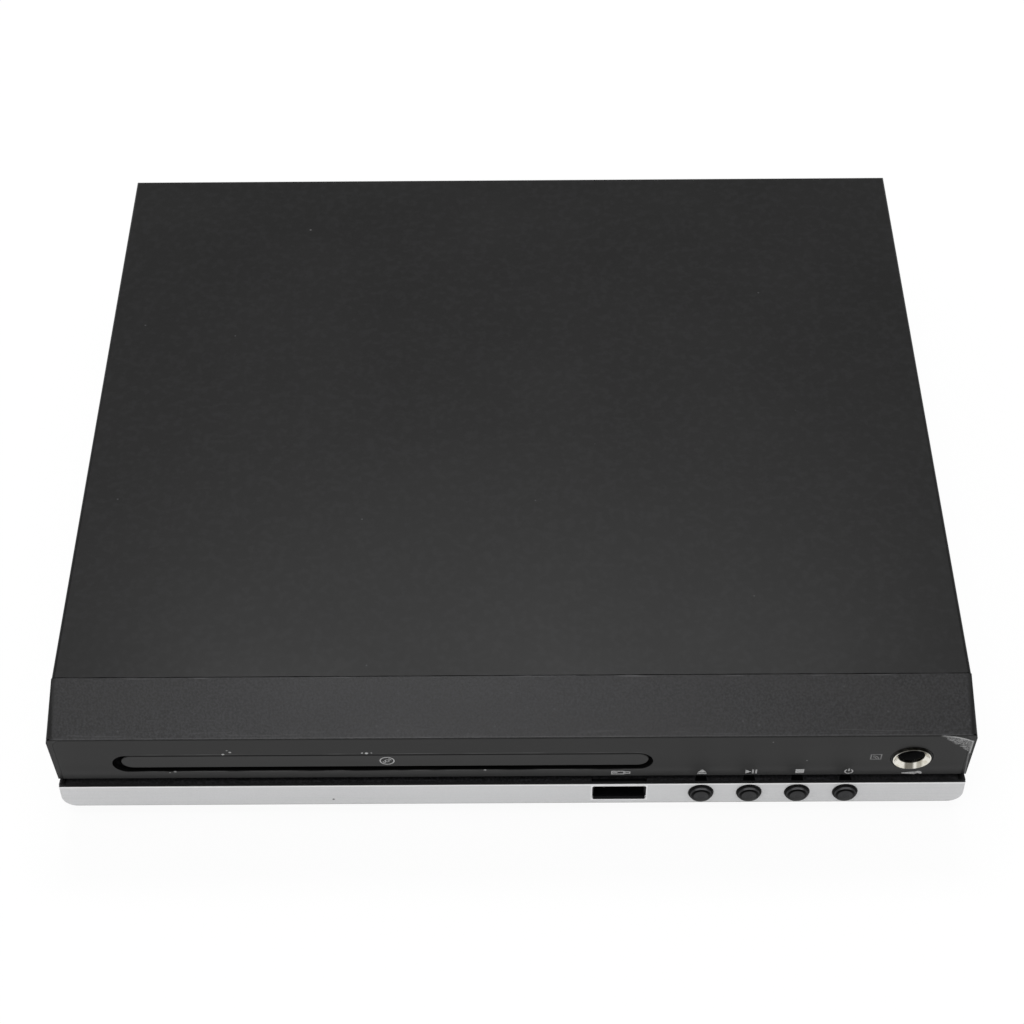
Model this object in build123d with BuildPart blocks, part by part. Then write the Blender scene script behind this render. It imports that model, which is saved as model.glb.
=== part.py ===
from build123d import *
import math
import os

# A small disc player: steel pan and cover, moulded front, tray mechanism, boards and rear sockets.
# Millimetres. X to the right seen from the front, Y to the back, Z up. The origin is on the table
# under the middle of the player, measured from the button caps to the ends of the rear sockets.

# Casing. Its width, depth and height follow from what it holds, further down
left_margin = 13.8
rear_space = 25.9
foot_height = 4.0
pan_sheet = 0.8
cover_sheet = 0.6
sheet_gap = 0.2
seam_gap = 0.25
flange_height = 12.0
flange_start = 4.2
cover_lift = 0.4
cover_edge_radius = 0.9
lip_height = 3.8
lip_tab_height = 12.0
lip_tab_width = 11.0
vent_length = 14.0
vent_width = 1.8
vent_pitch = 4.6
vent_count = 9

# Front moulding
bezel_flare = 0.8
slope_run = 13.4
slope_drop = 7.0
face_length = 19.2
face_rake = 7.5
bezel_wall = 2.0
front_edge_radius = 1.7
groove_height = 1.4
groove_depth = 2.0
strip_height = 7.9
strip_lift = 0.664
strip_proud = 1.6
strip_thickness = 0.9
strip_corner = 3.7
strip_edge_radius = 0.3
ledge_skin = 0.8
panel_thickness = 1.5
panel_margin = 1.4
panel_top_margin = 0.5
panel_corner = 2.5
tongue_length = 3.5
tongue_wall = 1.15
lug_radius = 3.5
lug_height = 8.2
lug_inset = 6.7
lug_setback = 12.0

# Tray slot and tray door in the face, measured down the face from its top edge
slot_down = 11.7
slot_side_gap = 2.3
slot_height = 8.0
door_overhang = 0.65
door_height = 5.6
door_shift_x = 0.55
door_shift_up = 0.3
door_thickness = 2.2
door_sink = 0.2

# Microphone socket and remote sensor in the face
mic_inset = 13.8
mic_down = 11.0
mic_bore_radius = 3.3
mic_ring_radius = 4.65
mic_groove_radius = 5.25
mic_ring_proud = 0.5
mic_body_width = 12.0
mic_body_length = 20.0
sensor_gap = 8.8
sensor_down = 10.4
sensor_width = 5.0

# Buttons and memory socket in the strip
button_inset = 28.96
button_count = 4
button_pitch = 11.93
button_rise = 4.35
button_hole_radius = 3.2
button_gap = 0.12
cap_reach = 1.4
cap_step = 0.55
cap_dome_radius = 2.6
cap_dome_height = 0.45
button_travel = 0.5
usb_gap = 20.3
usb_rise = 4.4
usb_hole_width = 13.4
usb_hole_height = 5.35
usb_shell_height = 5.4
usb_depth = 14.0
usb_sheet = 0.3

# Tray mechanism, widths measured from the middle of the slot
tray_rim = 3.0
tray_height = 5.4
tray_wall = 1.5
tray_tail = 18.0
disc_setback = 10.3
disc_recess_radius = 61.0
small_recess_radius = 41.0
disc_recess_depth = 1.7
small_recess_depth = 0.7
tray_opening = 46.0
tray_arm_gap = 84.0
tray_arm_back = 67.0
tray_play = 0.5
guide_gap = 0.35
tray_travel = 131.0
frame_wall = 2.5
frame_plate = 1.2
frame_setback = 8.5
frame_tail = 4.0
frame_post_radius = 4.0
plate_drop = 1.6
keeper_height = 1.7

# Gear train under the tray
gear_slack = 0.12
tray_module = 1.0
drive_teeth = 18
train_module = 0.8
wheel_teeth = 36
pinion_teeth = 12
rack_inset = 12.0
rack_tail = 10.0
gear_back = 24.0
gear_layer = 0.9
motor_radius = 12.2
motor_gap = 31.4
belt_size = 1.0
belt_gap = 0.15
pulley_radius = 7.0
motor_pulley_radius = 2.2
pulley_rim = 0.9

# Lifting deck with the disc motor and the pickup
lift_angle = 3.0
pivot_gap = 84.7
pivot_drop = 8.4
deck_left = 44.0
deck_right = 52.0
deck_front = 112.0
deck_rear = 5.0
deck_height = 3.0
deck_side = 7.0
deck_left_side = 9.0
chassis_sheet = 1.0
chassis_gap = 1.2
damper_radius = 3.6
damper_neck = 2.35
rod_radius = 1.5
rod_spread = 20.0
spindle_radius = 11.0
turntable_radius = 14.5
hub_radius = 7.4
pickup_start = 24.0
pickup_travel = 34.0
sled_module = 0.5
sled_teeth = 24
sled_pinion_teeth = 12
sled_slack = 0.06
cam_travel = 16.0
cam_pin_radius = 1.5
cam_slot_play = 0.25
clamper_radius = 15.0
bridge_sheet = 1.2
bridge_width = 34.0

# Boards and rear sockets
board_thickness = 1.6
front_board_thickness = 1.0
board_standoff = 4.0
loader_gap = 4.6
board_gap = 1.5
board_wall_gap = 3.3
board_edge = 0.55
main_board_length = 104.0
power_board_length = 108.0
rca_pitch = 13.5
rca_rise = 5.1
rca_row_gap = 12.2
rca_barrel_radius = 4.15
rca_collar_radius = 4.6
jack_reach = 8.5
hdmi_edge = 1.0
hdmi_gap = 1.05
hdmi_width = 15.0
hdmi_height = 5.5
inlet_width = 19.0
inlet_left_gap = 2.0
inlet_right_gap = 0.9
inlet_height = 12.6
inlet_depth = 16.0
inlet_cavity = 9.0
pin_spacing = 8.6

# Parts on the power board
transformer_width = 18.0
transformer_length = 16.0
transformer_height = 16.0
transformer_setback = 42.0
core_thickness = 10.0
winding_width = 12.0
bobbin_foot = 2.6
large_capacitor_radius = 6.3
large_capacitor_height = 20.0
small_capacitor_radius = 4.0
small_capacitor_height = 12.0
small_capacitor_step = 5.0
sink_length = 24.0
sink_height = 18.0
sink_sheet = 1.5
sink_reach = 4.0
fin_thickness = 0.9

# Fasteners
screw_shank_radius = 1.3
screw_hole_radius = 1.4
screw_pass_radius = 1.7
screw_head_radius = 2.8
screw_head_height = 1.7
side_head_height = 0.7
side_shank_length = 2.8
rear_shank_length = 4.5
board_shank_length = 6.2
chassis_shank_length = 7.0
foot_shank_length = 5.0
foot_radius = 7.5
foot_inset = 23.7
foot_setback = 20.0

# Places that follow from the sizes above
rake_sin = math.sin(math.radians(face_rake))
rake_cos = math.cos(math.radians(face_rake))
tray_width = 2 * (disc_recess_radius + tray_rim)
slot_width = tray_width + 2 * slot_side_gap
door_width = tray_width + 2 * door_overhang
frame_inner = tray_width / 2 + tray_play
frame_outer = frame_inner + frame_wall
rca_block_width = 2 * rca_pitch + 0.4
main_board_width = hdmi_edge + hdmi_width + hdmi_gap + rca_block_width + board_edge
power_board_width = inlet_left_gap + inlet_width + inlet_right_gap
right_bay = loader_gap + main_board_width + board_gap + power_board_width + board_wall_gap
cover_width = left_margin + slot_width / 2 + frame_outer + right_bay
cover_half = cover_width / 2
bezel_half = cover_half + bezel_flare
disc_back = disc_setback + disc_recess_radius
pivot_back = disc_back + pivot_gap
tray_reach = pivot_back + tray_tail
frame_back = tray_reach + frame_tail
body_depth = frame_back + rear_space
strip_bottom = foot_height + strip_lift
strip_top = strip_bottom + strip_height
face_bottom_z = strip_top + groove_height
z_edge = face_bottom_z + face_length * rake_cos
body_height = z_edge + slope_drop

front_reach = max(cap_reach + strip_proud - face_length * rake_sin, 0.0)
y_edge = -(body_depth + jack_reach - front_reach) / 2
y_seam = y_edge + slope_run
y_back = y_edge + body_depth
face_bottom_y = y_edge + face_length * rake_sin
strip_face_y = face_bottom_y - strip_proud
ledge_front_y = strip_face_y + strip_thickness
pan_half = cover_half - cover_sheet - sheet_gap
pan_top = foot_height + pan_sheet
pan_back = y_back - cover_sheet - sheet_gap
panel_inside = pan_back - pan_sheet
slot_x = -cover_half + left_margin + slot_width / 2
mic_x = cover_half - mic_inset
sensor_x = mic_x - sensor_gap
button_xs = [cover_half - button_inset - i * button_pitch for i in reversed(range(button_count))]
usb_x = button_xs[0] - usb_gap
button_z = strip_bottom + button_rise
usb_z = strip_bottom + usb_rise
tray_z = z_edge - slot_down * rake_cos
board_z = pan_top + board_standoff + board_thickness
main_board_left = slot_x + frame_outer + loader_gap
main_board_right = main_board_left + main_board_width
power_board_left = main_board_right + board_gap
power_board_right = power_board_left + power_board_width
hdmi_x = main_board_left + hdmi_edge + hdmi_width / 2
rca_x = main_board_right - board_edge - rca_block_width / 2
inlet_x = power_board_left + inlet_left_gap + inlet_width / 2

face_plane = Plane(origin=(0, y_edge, z_edge), x_dir=(1, 0, 0), z_dir=(0, -rake_cos, -rake_sin))


def level(height):
    """Horizontal plane at a height above the table."""
    return Plane.XY.offset(height)


def wall(y):
    """Upright plane across the player at a depth, facing the front."""
    return Plane.XZ.offset(-y)


def side(x):
    """Upright plane along the player at a width, facing right."""
    return Plane.YZ.offset(x)


def block(x0, x1, y0, y1, z0, z1, mode=Mode.ADD):
    """Box between two corners, in the piece being built."""
    with Locations(((x0 + x1) / 2, (y0 + y1) / 2, (z0 + z1) / 2)):
        Box(x1 - x0, y1 - y0, z1 - z0, mode=mode)


def post(x, y, z0, z1, radius, mode=Mode.ADD):
    """Upright round post or hole, in the piece being built."""
    with Locations((x, y, (z0 + z1) / 2)):
        Cylinder(radius, z1 - z0, mode=mode)


def bar(x, z, y0, y1, radius, mode=Mode.ADD):
    """Round bar or hole from front to back, in the piece being built."""
    with Locations(Location((x, (y0 + y1) / 2, z), (90, 0, 0))):
        Cylinder(radius, y1 - y0, mode=mode)


def axle(y, z, x0, x1, radius, mode=Mode.ADD):
    """Round bar or hole from left to right, in the piece being built."""
    with Locations(Location(((x0 + x1) / 2, y, z), (0, 90, 0))):
        Cylinder(radius, x1 - x0, mode=mode)


def screws(places, head_radius, head_height, shank_radius, shank_length):
    """Cross-slotted screws: each head sits on its place and the shank runs along the place's -Z."""
    slot_depth = head_height * 0.55
    with Locations(*places):
        Cylinder(head_radius, head_height, align=(Align.CENTER, Align.CENTER, Align.MIN))
        Cylinder(shank_radius, shank_length, align=(Align.CENTER, Align.CENTER, Align.MAX))
    with Locations(*[place * Location((0, 0, head_height)) for place in places]):
        for turn in (0, 90):
            Box(head_radius * 1.2, head_radius * 0.3, 2 * slot_depth, rotation=(0, 0, turn),
                mode=Mode.SUBTRACT)


def save(piece, name):
    """Label one finished piece and write its file."""
    piece.part.label = name
    export_step(piece.part, f"parts/{name}.step")


def dome_middle(radius, height):
    """Point half way along the arc of a dome: its distance from the axis and its drop from the top."""
    sphere = (radius**2 + height**2) / (2 * height)
    half_angle = math.asin(radius / sphere) / 2
    return sphere * math.sin(half_angle), sphere * (1 - math.cos(half_angle))


os.makedirs("parts", exist_ok=True)

# Gear outlines
ADDENDUM = 0.8
DEDENDUM = 1.05
PRESSURE_ANGLE = math.radians(20)


def gear_outline(teeth, module, slack, turn):
    """Corners of a spur gear with involute flanks and one tooth centred on the angle turn."""
    pitch_radius = teeth * module / 2
    base_radius = pitch_radius * math.cos(PRESSURE_ANGLE)
    tip_radius = pitch_radius + ADDENDUM * module
    root_radius = pitch_radius - DEDENDUM * module
    pitch_half = (math.pi * module / 2 - slack) / 2 / pitch_radius
    involute_at_pitch = math.tan(PRESSURE_ANGLE) - PRESSURE_ANGLE
    start = max(base_radius, root_radius)
    flank = [(root_radius, None)] if root_radius < start else []
    for step in range(4):
        radius = start + (tip_radius - start) * step / 3
        spread = math.acos(min(base_radius / radius, 1.0))
        flank.append((radius, pitch_half + involute_at_pitch - (math.tan(spread) - spread)))
    if flank[0][1] is None:
        flank[0] = (root_radius, flank[1][1])
    points = []
    for tooth in range(teeth):
        middle = math.radians(turn) + tooth * 2 * math.pi / teeth
        points += [(r * math.cos(middle - a), r * math.sin(middle - a)) for r, a in flank]
        points += [(r * math.cos(middle + a), r * math.sin(middle + a)) for r, a in reversed(flank)]
    return points


def gear_profile(x, y, z, teeth, module, slack, turn):
    """Flat profile of a spur gear at a place."""
    with BuildSketch(Plane((x, y, z))) as profile:
        with BuildLine():
            Polyline(*gear_outline(teeth, module, slack, turn), close=True)
        make_face()
    return profile.sketch


def rack_outline(pitch_x, back_x, y_mesh, y_front, y_rear, module, slack, facing):
    """Corners of a toothed rack along Y, facing +X or -X, with one tooth centred on y_mesh."""
    pitch = math.pi * module
    half = (pitch / 2 - slack) / 2
    lean = math.tan(PRESSURE_ANGLE) * module
    first = math.ceil((y_front - y_mesh) / pitch + 0.5)
    last = math.floor((y_rear - y_mesh) / pitch - 0.5)
    root_x = pitch_x - facing * DEDENDUM * module
    tip_x = pitch_x + facing * ADDENDUM * module
    points = [(back_x, y_front), (root_x, y_front)]
    for tooth in range(first, last + 1):
        middle = y_mesh + tooth * pitch
        points += [
            (root_x, middle - half - DEDENDUM * lean),
            (tip_x, middle - half + ADDENDUM * lean),
            (tip_x, middle + half - ADDENDUM * lean),
            (root_x, middle + half + DEDENDUM * lean),
        ]
    return points + [(root_x, y_rear), (back_x, y_rear)]


# Places shared by several pieces
standoff_radius = 3.2
tray_bottom = tray_z - tray_height / 2
tray_top = tray_z + tray_height / 2
recess_floor = tray_top - disc_recess_depth
recess_under = recess_floor - tray_wall
disc_y = y_edge + disc_back
tray_end = y_edge + tray_reach
plate_top = tray_bottom - plate_drop
plate_bottom = plate_top - frame_plate
frame_front = y_edge + frame_setback
frame_end = y_edge + frame_back
frame_top = tray_top + guide_gap + keeper_height
frame_foot = pan_top + board_standoff
loader_posts = [(slot_x + u, y) for u in (-58.0, 58.0) for y in (frame_front + 47.0, frame_end - 8.0)]

gear_y = y_edge + gear_back
drive_radius = drive_teeth * tray_module / 2
wheel_radius = wheel_teeth * train_module / 2
pinion_radius = pinion_teeth * train_module / 2
rack_x = slot_x - tray_width / 2 + rack_inset
drive_x = rack_x + drive_radius
pulley_x = drive_x + wheel_radius + pinion_radius
motor_x = pulley_x + motor_gap
wheel_z = plate_top + 0.3
upper_gear_z = wheel_z + gear_layer
gear_top = recess_under - 0.5
belt_z = (upper_gear_z + 0.3 + gear_top) / 2

pivot_y = y_edge + pivot_back
pivot_z = tray_z - pivot_drop
swing_axis = Axis((slot_x, pivot_y, pivot_z), (1, 0, 0))
deck_bottom = pivot_z
deck_top = deck_bottom + deck_height
chassis_bottom = deck_top + chassis_gap
chassis_top = chassis_bottom + chassis_sheet
seat_z = recess_floor + 0.8
rod_z = chassis_bottom - 2.8
lens_y = disc_y + pickup_start
slider_back_y = pivot_y - deck_front - 1.4
slider_front_y = slider_back_y - 2.0
opening_front = slider_front_y - 0.3
opening_rear = pivot_y + deck_rear + 2.0

usb_board_z = usb_z - usb_shell_height / 2
front_board_front = y_edge + 6.5
front_board_back = y_edge + 22.0
front_board_left = usb_x - usb_hole_width / 2 - 6.0
front_board_right = sensor_x + 6.0
front_board_screws = [(x, front_board_back - 4.0) for x in (usb_x + 13.0, front_board_right - 4.0)]
main_board_back = panel_inside - 0.6
main_board_front = main_board_back - main_board_length
power_board_front = main_board_back - power_board_length
main_screws = [
    (x, y)
    for x in (main_board_left + 4.5, main_board_right - 4.5)
    for y in (main_board_front + 5.0, main_board_back - 26.0)
]
power_screws = [
    ((power_board_left + power_board_right) / 2, power_board_front + 5.0),
    (power_board_right - 4.5, main_board_back - 24.0),
]
bezel_lugs = [(sign * (cover_half - lug_inset), y_edge + lug_setback) for sign in (-1, 1)]
rca_spots = [
    (rca_x + i * rca_pitch / 2, board_z + rca_rise + j * rca_row_gap)
    for i in (-1, 1)
    for j in (0, 1)
]
feet_places = [
    (sign * (cover_half - foot_inset), y)
    for sign in (-1, 1)
    for y in (y_seam + foot_setback, y_back - foot_setback)
]
side_screw_ys = [y_seam + 34.0, y_back - 16.0]
side_screw_z = foot_height + flange_height - 5.0
rear_screw_xs = [-cover_half + 19.7, slot_x + 3.6, slot_x + 57.6]
rear_screw_z = body_height - lip_tab_height + 5.0

# Base pan, folded up at the sides and the back
with BuildPart() as base_pan:
    flange_front = y_seam + flange_start
    block(-pan_half, pan_half, flange_front, pan_back, foot_height, pan_top)
    lip_half = pan_half - 1.6
    pan_front = y_edge + 6.6
    block(-lip_half, lip_half, pan_front, flange_front, foot_height, pan_top)
    flange_top = foot_height + flange_height
    for sign in (-1, 1):
        inner = sign * (pan_half - pan_sheet)
        outer = sign * pan_half
        block(min(inner, outer), max(inner, outer), flange_front, pan_back, foot_height, flange_top)
    rear_top = body_height - cover_sheet - sheet_gap
    block(-pan_half, pan_half, panel_inside, pan_back, foot_height, rear_top)
    floor_edges = base_pan.edges().filter_by(Axis.Y).group_by(Axis.Z)[0]
    fillet(floor_edges.group_by(SortBy.LENGTH)[-1], pan_sheet * 0.9)
    # Front lip, left of the memory socket
    block(-lip_half, front_board_left - 4.0, pan_front, pan_front + pan_sheet, foot_height, pan_top + 7.0)
    # Drawn standoffs for the boards and the loader
    for x, y in front_board_screws:
        post(x, y, pan_top, usb_board_z - front_board_thickness, standoff_radius)
    for x, y in main_screws + power_screws:
        post(x, y, pan_top, board_z - board_thickness, standoff_radius)
    for x, y in loader_posts:
        post(x, y, pan_top, frame_foot, frame_post_radius)
    for x, y in front_board_screws + main_screws + power_screws + loader_posts + bezel_lugs:
        post(x, y, foot_height - 1, frame_foot + 1, screw_pass_radius, Mode.SUBTRACT)
    for x, y in feet_places:
        post(x, y, foot_height - 1, pan_top + 1, screw_hole_radius, Mode.SUBTRACT)
    for y in side_screw_ys:
        axle(y, side_screw_z, -cover_half, cover_half, screw_hole_radius, Mode.SUBTRACT)
    for x in rear_screw_xs:
        bar(x, rear_screw_z, panel_inside - 1, pan_back + 1, screw_hole_radius, Mode.SUBTRACT)
    # Socket openings in the rear panel
    for x, z in rca_spots:
        bar(x, z, panel_inside - 1, pan_back + 1, rca_collar_radius + 0.25, Mode.SUBTRACT)
    with BuildSketch(wall(pan_back)):
        with Locations((inlet_x, board_z + inlet_height / 2)):
            Rectangle(inlet_width + 0.4, inlet_height + 0.4)
        with Locations((hdmi_x, board_z + hdmi_height / 2)):
            Rectangle(hdmi_width + 0.8, hdmi_height + 0.8)
    extrude(amount=pan_sheet, mode=Mode.SUBTRACT)
    # Air slots in the rear panel behind the loader
    with BuildSketch(wall(pan_back)):
        with Locations((slot_x - 26.0, tray_z - 4.0)):
            with GridLocations(vent_pitch, 1, vent_count, 1):
                SlotOverall(vent_length, vent_width, rotation=90)
    extrude(amount=pan_sheet, mode=Mode.SUBTRACT)
save(base_pan, "base_pan")

# Top cover, one folded sheet with a rear lip and screw tabs
with BuildPart() as top_cover:
    cover_front = y_seam + seam_gap
    cover_bottom = foot_height + cover_lift
    block(-cover_half, cover_half, cover_front, y_back, cover_bottom, body_height)
    top_edges = top_cover.faces().sort_by(Axis.Z)[-1].edges()
    fillet(top_edges.filter_by(Axis.Y) + [top_edges.filter_by(Axis.X).sort_by(Axis.Y)[-1]], cover_edge_radius)
    inner_half = cover_half - cover_sheet
    block(-inner_half, inner_half, cover_front - 1, y_back - cover_sheet, cover_bottom - 1,
          body_height - cover_sheet, Mode.SUBTRACT)
    with BuildSketch(wall(y_back + 1)):
        lip_bottom = body_height - lip_height
        with Locations((0, (cover_bottom - 1 + lip_bottom) / 2)):
            Rectangle(2 * inner_half, lip_bottom - cover_bottom + 1)
        for x in rear_screw_xs:
            with Locations((x, lip_bottom + (lip_height - lip_tab_height) / 2)):
                Rectangle(lip_tab_width, lip_tab_height - lip_height, mode=Mode.SUBTRACT)
    extrude(amount=cover_sheet + 2, mode=Mode.SUBTRACT)
    for y in side_screw_ys:
        axle(y, side_screw_z, -cover_half - 1, cover_half + 1, screw_pass_radius, Mode.SUBTRACT)
    for x in rear_screw_xs:
        bar(x, rear_screw_z, y_back - 2, y_back + 1, screw_pass_radius, Mode.SUBTRACT)
    with BuildSketch(side(-cover_half - 1)):
        with Locations((y_back - 48.0, tray_z)):
            with GridLocations(vent_pitch, 1, vent_count, 1):
                SlotOverall(vent_length, vent_width, rotation=90)
    extrude(amount=cover_width + 2, mode=Mode.SUBTRACT)
save(top_cover, "top_cover")

# Front bezel, a hollow moulding with a sloping top, a raked face and a ledge for the strip
with BuildPart() as front_bezel:
    sections = [
        (y_seam, cover_half, body_height, 0.25, 1.0),
        (y_edge, bezel_half, z_edge, front_edge_radius, strip_corner),
    ]
    for y, half, top, top_radius, foot_corner in sections:
        with BuildSketch(wall(y)) as section:
            with Locations((0, (strip_bottom + top) / 2)):
                Rectangle(2 * half, top - strip_bottom)
            fillet(section.vertices().group_by(Axis.Y)[-1], top_radius)
            fillet(section.vertices().group_by(Axis.Y)[0], foot_corner)
    loft(ruled=True)
    # Raked face, shadow groove and ledge
    with BuildSketch(side(-2 * bezel_half)):
        with BuildLine():
            Polyline(
                (y_edge - 5, z_edge),
                (y_edge, z_edge),
                (face_bottom_y, face_bottom_z),
                (face_bottom_y + groove_depth, face_bottom_z),
                (face_bottom_y + groove_depth, strip_top),
                (ledge_front_y, strip_top),
                (ledge_front_y, strip_bottom - 1),
                (y_edge - 5, strip_bottom - 1),
                close=True,
            )
        make_face()
    extrude(amount=4 * bezel_half, mode=Mode.SUBTRACT)
    # Hollow inside
    slope = slope_drop / slope_run
    slope_wall = bezel_wall * math.hypot(1, slope)
    face_wall = (panel_thickness + bezel_wall) / rake_cos
    top_y = y_edge + (face_wall + slope_wall * math.tan(math.radians(face_rake))) / (
        1 + slope * math.tan(math.radians(face_rake)))
    roof_end = y_seam + 1
    inner_step = face_bottom_y + groove_depth + bezel_wall - 0.4
    groove_floor = face_bottom_z + bezel_wall
    ledge_under = strip_top - ledge_skin
    lower_inner = ledge_front_y + bezel_wall
    with BuildSketch(side(-cover_half + bezel_wall)):
        with BuildLine():
            Polyline(
                (roof_end, z_edge + slope * (roof_end - y_edge) - slope_wall),
                (top_y, z_edge + slope * (top_y - y_edge) - slope_wall),
                (y_edge + face_wall + (z_edge - groove_floor) * rake_sin / rake_cos, groove_floor),
                (inner_step, groove_floor),
                (inner_step, ledge_under),
                (lower_inner, ledge_under),
                (lower_inner, strip_bottom + bezel_wall - 0.8),
                (pan_front - 0.3, strip_bottom + bezel_wall - 0.8),
                (pan_front - 0.3, strip_bottom - 1),
                (roof_end, strip_bottom - 1),
                close=True,
            )
        make_face()
    extrude(amount=cover_width - 2 * bezel_wall, mode=Mode.SUBTRACT)
    # Tongue that slips under the cover
    with BuildSketch(wall(y_seam - 1)):
        tongue_half = cover_half - cover_sheet - seam_gap
        tongue_top = body_height - cover_sheet - seam_gap
        tongue_foot = pan_top + sheet_gap
        with Locations((0, (tongue_foot + tongue_top) / 2)):
            Rectangle(2 * tongue_half, tongue_top - tongue_foot)
        with Locations((0, (tongue_foot - 1 + tongue_top - tongue_wall) / 2)):
            Rectangle(2 * (tongue_half - tongue_wall), tongue_top - tongue_wall - tongue_foot + 1,
                      mode=Mode.SUBTRACT)
    extrude(amount=-(tongue_length + 1))
    # Screw lugs that stand on the pan
    for x, y in bezel_lugs:
        post(x, y, pan_top, pan_top + lug_height, lug_radius)
        wall_x = math.copysign(cover_half - bezel_wall + 0.5, x)
        block(min(x, wall_x), max(x, wall_x), y - 1, y + 1, pan_top, pan_top + lug_height)
        post(x, y, pan_top - 1, pan_top + lug_height - 1.5, screw_hole_radius, Mode.SUBTRACT)
    # Pocket for the face panel, tray slot, microphone, sensor, buttons and memory socket
    with BuildSketch(face_plane.offset(-panel_thickness)) as pocket:
        with Locations((0, -(panel_top_margin + face_length + 2) / 2)):
            Rectangle(2 * (bezel_half - panel_margin), face_length + 2 - panel_top_margin)
        fillet(pocket.vertices().group_by(Axis.Y)[-1], panel_corner)
    extrude(amount=panel_thickness + 2, mode=Mode.SUBTRACT)
    with BuildSketch(face_plane):
        with Locations((slot_x, -slot_down)):
            SlotOverall(slot_width + 0.6, slot_height + 0.6)
    extrude(amount=12.0, dir=(0, 1, 0), mode=Mode.SUBTRACT)
    with BuildSketch(face_plane):
        with Locations((mic_x, -mic_down)):
            Circle(mic_ring_radius + 0.1)
        with Locations((sensor_x, -sensor_down)):
            Circle(sensor_width / 2 + 0.4)
    extrude(amount=-8.0, mode=Mode.SUBTRACT)
    with BuildSketch(wall(ledge_front_y - 1)):
        for x in button_xs:
            with Locations((x, button_z)):
                Circle(button_hole_radius + 0.1)
        with Locations((usb_x, usb_z)):
            Rectangle(usb_hole_width + 0.3, usb_shell_height + 0.5)
    extrude(amount=-(inner_step - ledge_front_y + 2), mode=Mode.SUBTRACT)
save(front_bezel, "front_bezel")

# Gloss face panel set into the bezel
with BuildPart() as face_panel:
    with BuildSketch(face_plane.offset(-panel_thickness)) as outline:
        with Locations((0, -(panel_top_margin + face_length) / 2)):
            Rectangle(2 * (bezel_half - panel_margin) - 0.1, face_length - panel_top_margin - 0.1)
        fillet(outline.vertices().group_by(Axis.Y)[-1], panel_corner)
        with Locations((mic_x, -mic_down)):
            Circle(mic_groove_radius, mode=Mode.SUBTRACT)
    extrude(amount=panel_thickness)
    with BuildSketch(face_plane.offset(2)):
        with Locations((slot_x, -slot_down)):
            SlotOverall(slot_width, slot_height)
    extrude(amount=12.0, dir=(0, 1, 0), mode=Mode.SUBTRACT)
save(face_panel, "face_panel")

# Silver strip along the foot of the front
with BuildPart() as trim_strip:
    with BuildSketch(wall(ledge_front_y)) as strip:
        with Locations((0, (strip_bottom + strip_top) / 2)):
            Rectangle(2 * bezel_half - 0.4, strip_height)
        fillet(strip.vertices().group_by(Axis.Y)[0], strip_corner)
    extrude(amount=strip_thickness)
    fillet(trim_strip.faces().sort_by(Axis.Y)[0].edges(), strip_edge_radius)
    with BuildSketch(wall(ledge_front_y)):
        with Locations((usb_x, usb_z)):
            RectangleRounded(usb_hole_width, usb_hole_height, 0.6)
        for x in button_xs:
            with Locations((x, button_z)):
                Circle(button_hole_radius)
    extrude(amount=strip_thickness, mode=Mode.SUBTRACT)
save(trim_strip, "trim_strip")

# Rubber feet, each with a recess for its screw
with BuildPart() as rubber_feet:
    foot_recess = screw_head_height + 0.5
    for x, y in feet_places:
        post(x, y, 0, foot_height, foot_radius)
    chamfer(rubber_feet.faces().sort_by(Axis.Z)[0:4].edges(), 0.6)
    for x, y in feet_places:
        post(x, y, -1, foot_recess, screw_head_radius + 0.5, Mode.SUBTRACT)
        post(x, y, 0, foot_height + 1, screw_pass_radius, Mode.SUBTRACT)
save(rubber_feet, "rubber_feet")

# Cover screws at the sides and the back
with BuildPart() as cover_screws:
    rear_places = [Location((x, y_back, rear_screw_z), (-90, 0, 0)) for x in rear_screw_xs]
    screws(rear_places, screw_head_radius, screw_head_height, screw_shank_radius, rear_shank_length)
    side_places = [
        Location((sign * cover_half, y, side_screw_z), (0, sign * 90, 0))
        for sign in (-1, 1)
        for y in side_screw_ys
    ]
    screws(side_places, screw_head_radius, side_head_height, screw_shank_radius, side_shank_length)
save(cover_screws, "cover_screws")

# Chassis screws: boards from above, loader, bezel and feet from below
with BuildPart() as chassis_screws:
    from_above = [Location((x, y, usb_board_z)) for x, y in front_board_screws]
    screws(from_above, screw_head_radius, screw_head_height, screw_shank_radius, 3.2)
    on_boards = [Location((x, y, board_z)) for x, y in main_screws + power_screws]
    screws(on_boards, screw_head_radius, screw_head_height, screw_shank_radius, board_shank_length)
    from_below = [Location((x, y, foot_height), (180, 0, 0)) for x, y in loader_posts + bezel_lugs]
    screws(from_below, screw_head_radius, screw_head_height, screw_shank_radius, chassis_shank_length)
    in_feet = [Location((x, y, foot_recess), (180, 0, 0)) for x, y in feet_places]
    screws(in_feet, screw_head_radius, screw_head_height, screw_shank_radius, foot_shank_length)
save(chassis_screws, "chassis_screws")

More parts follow.
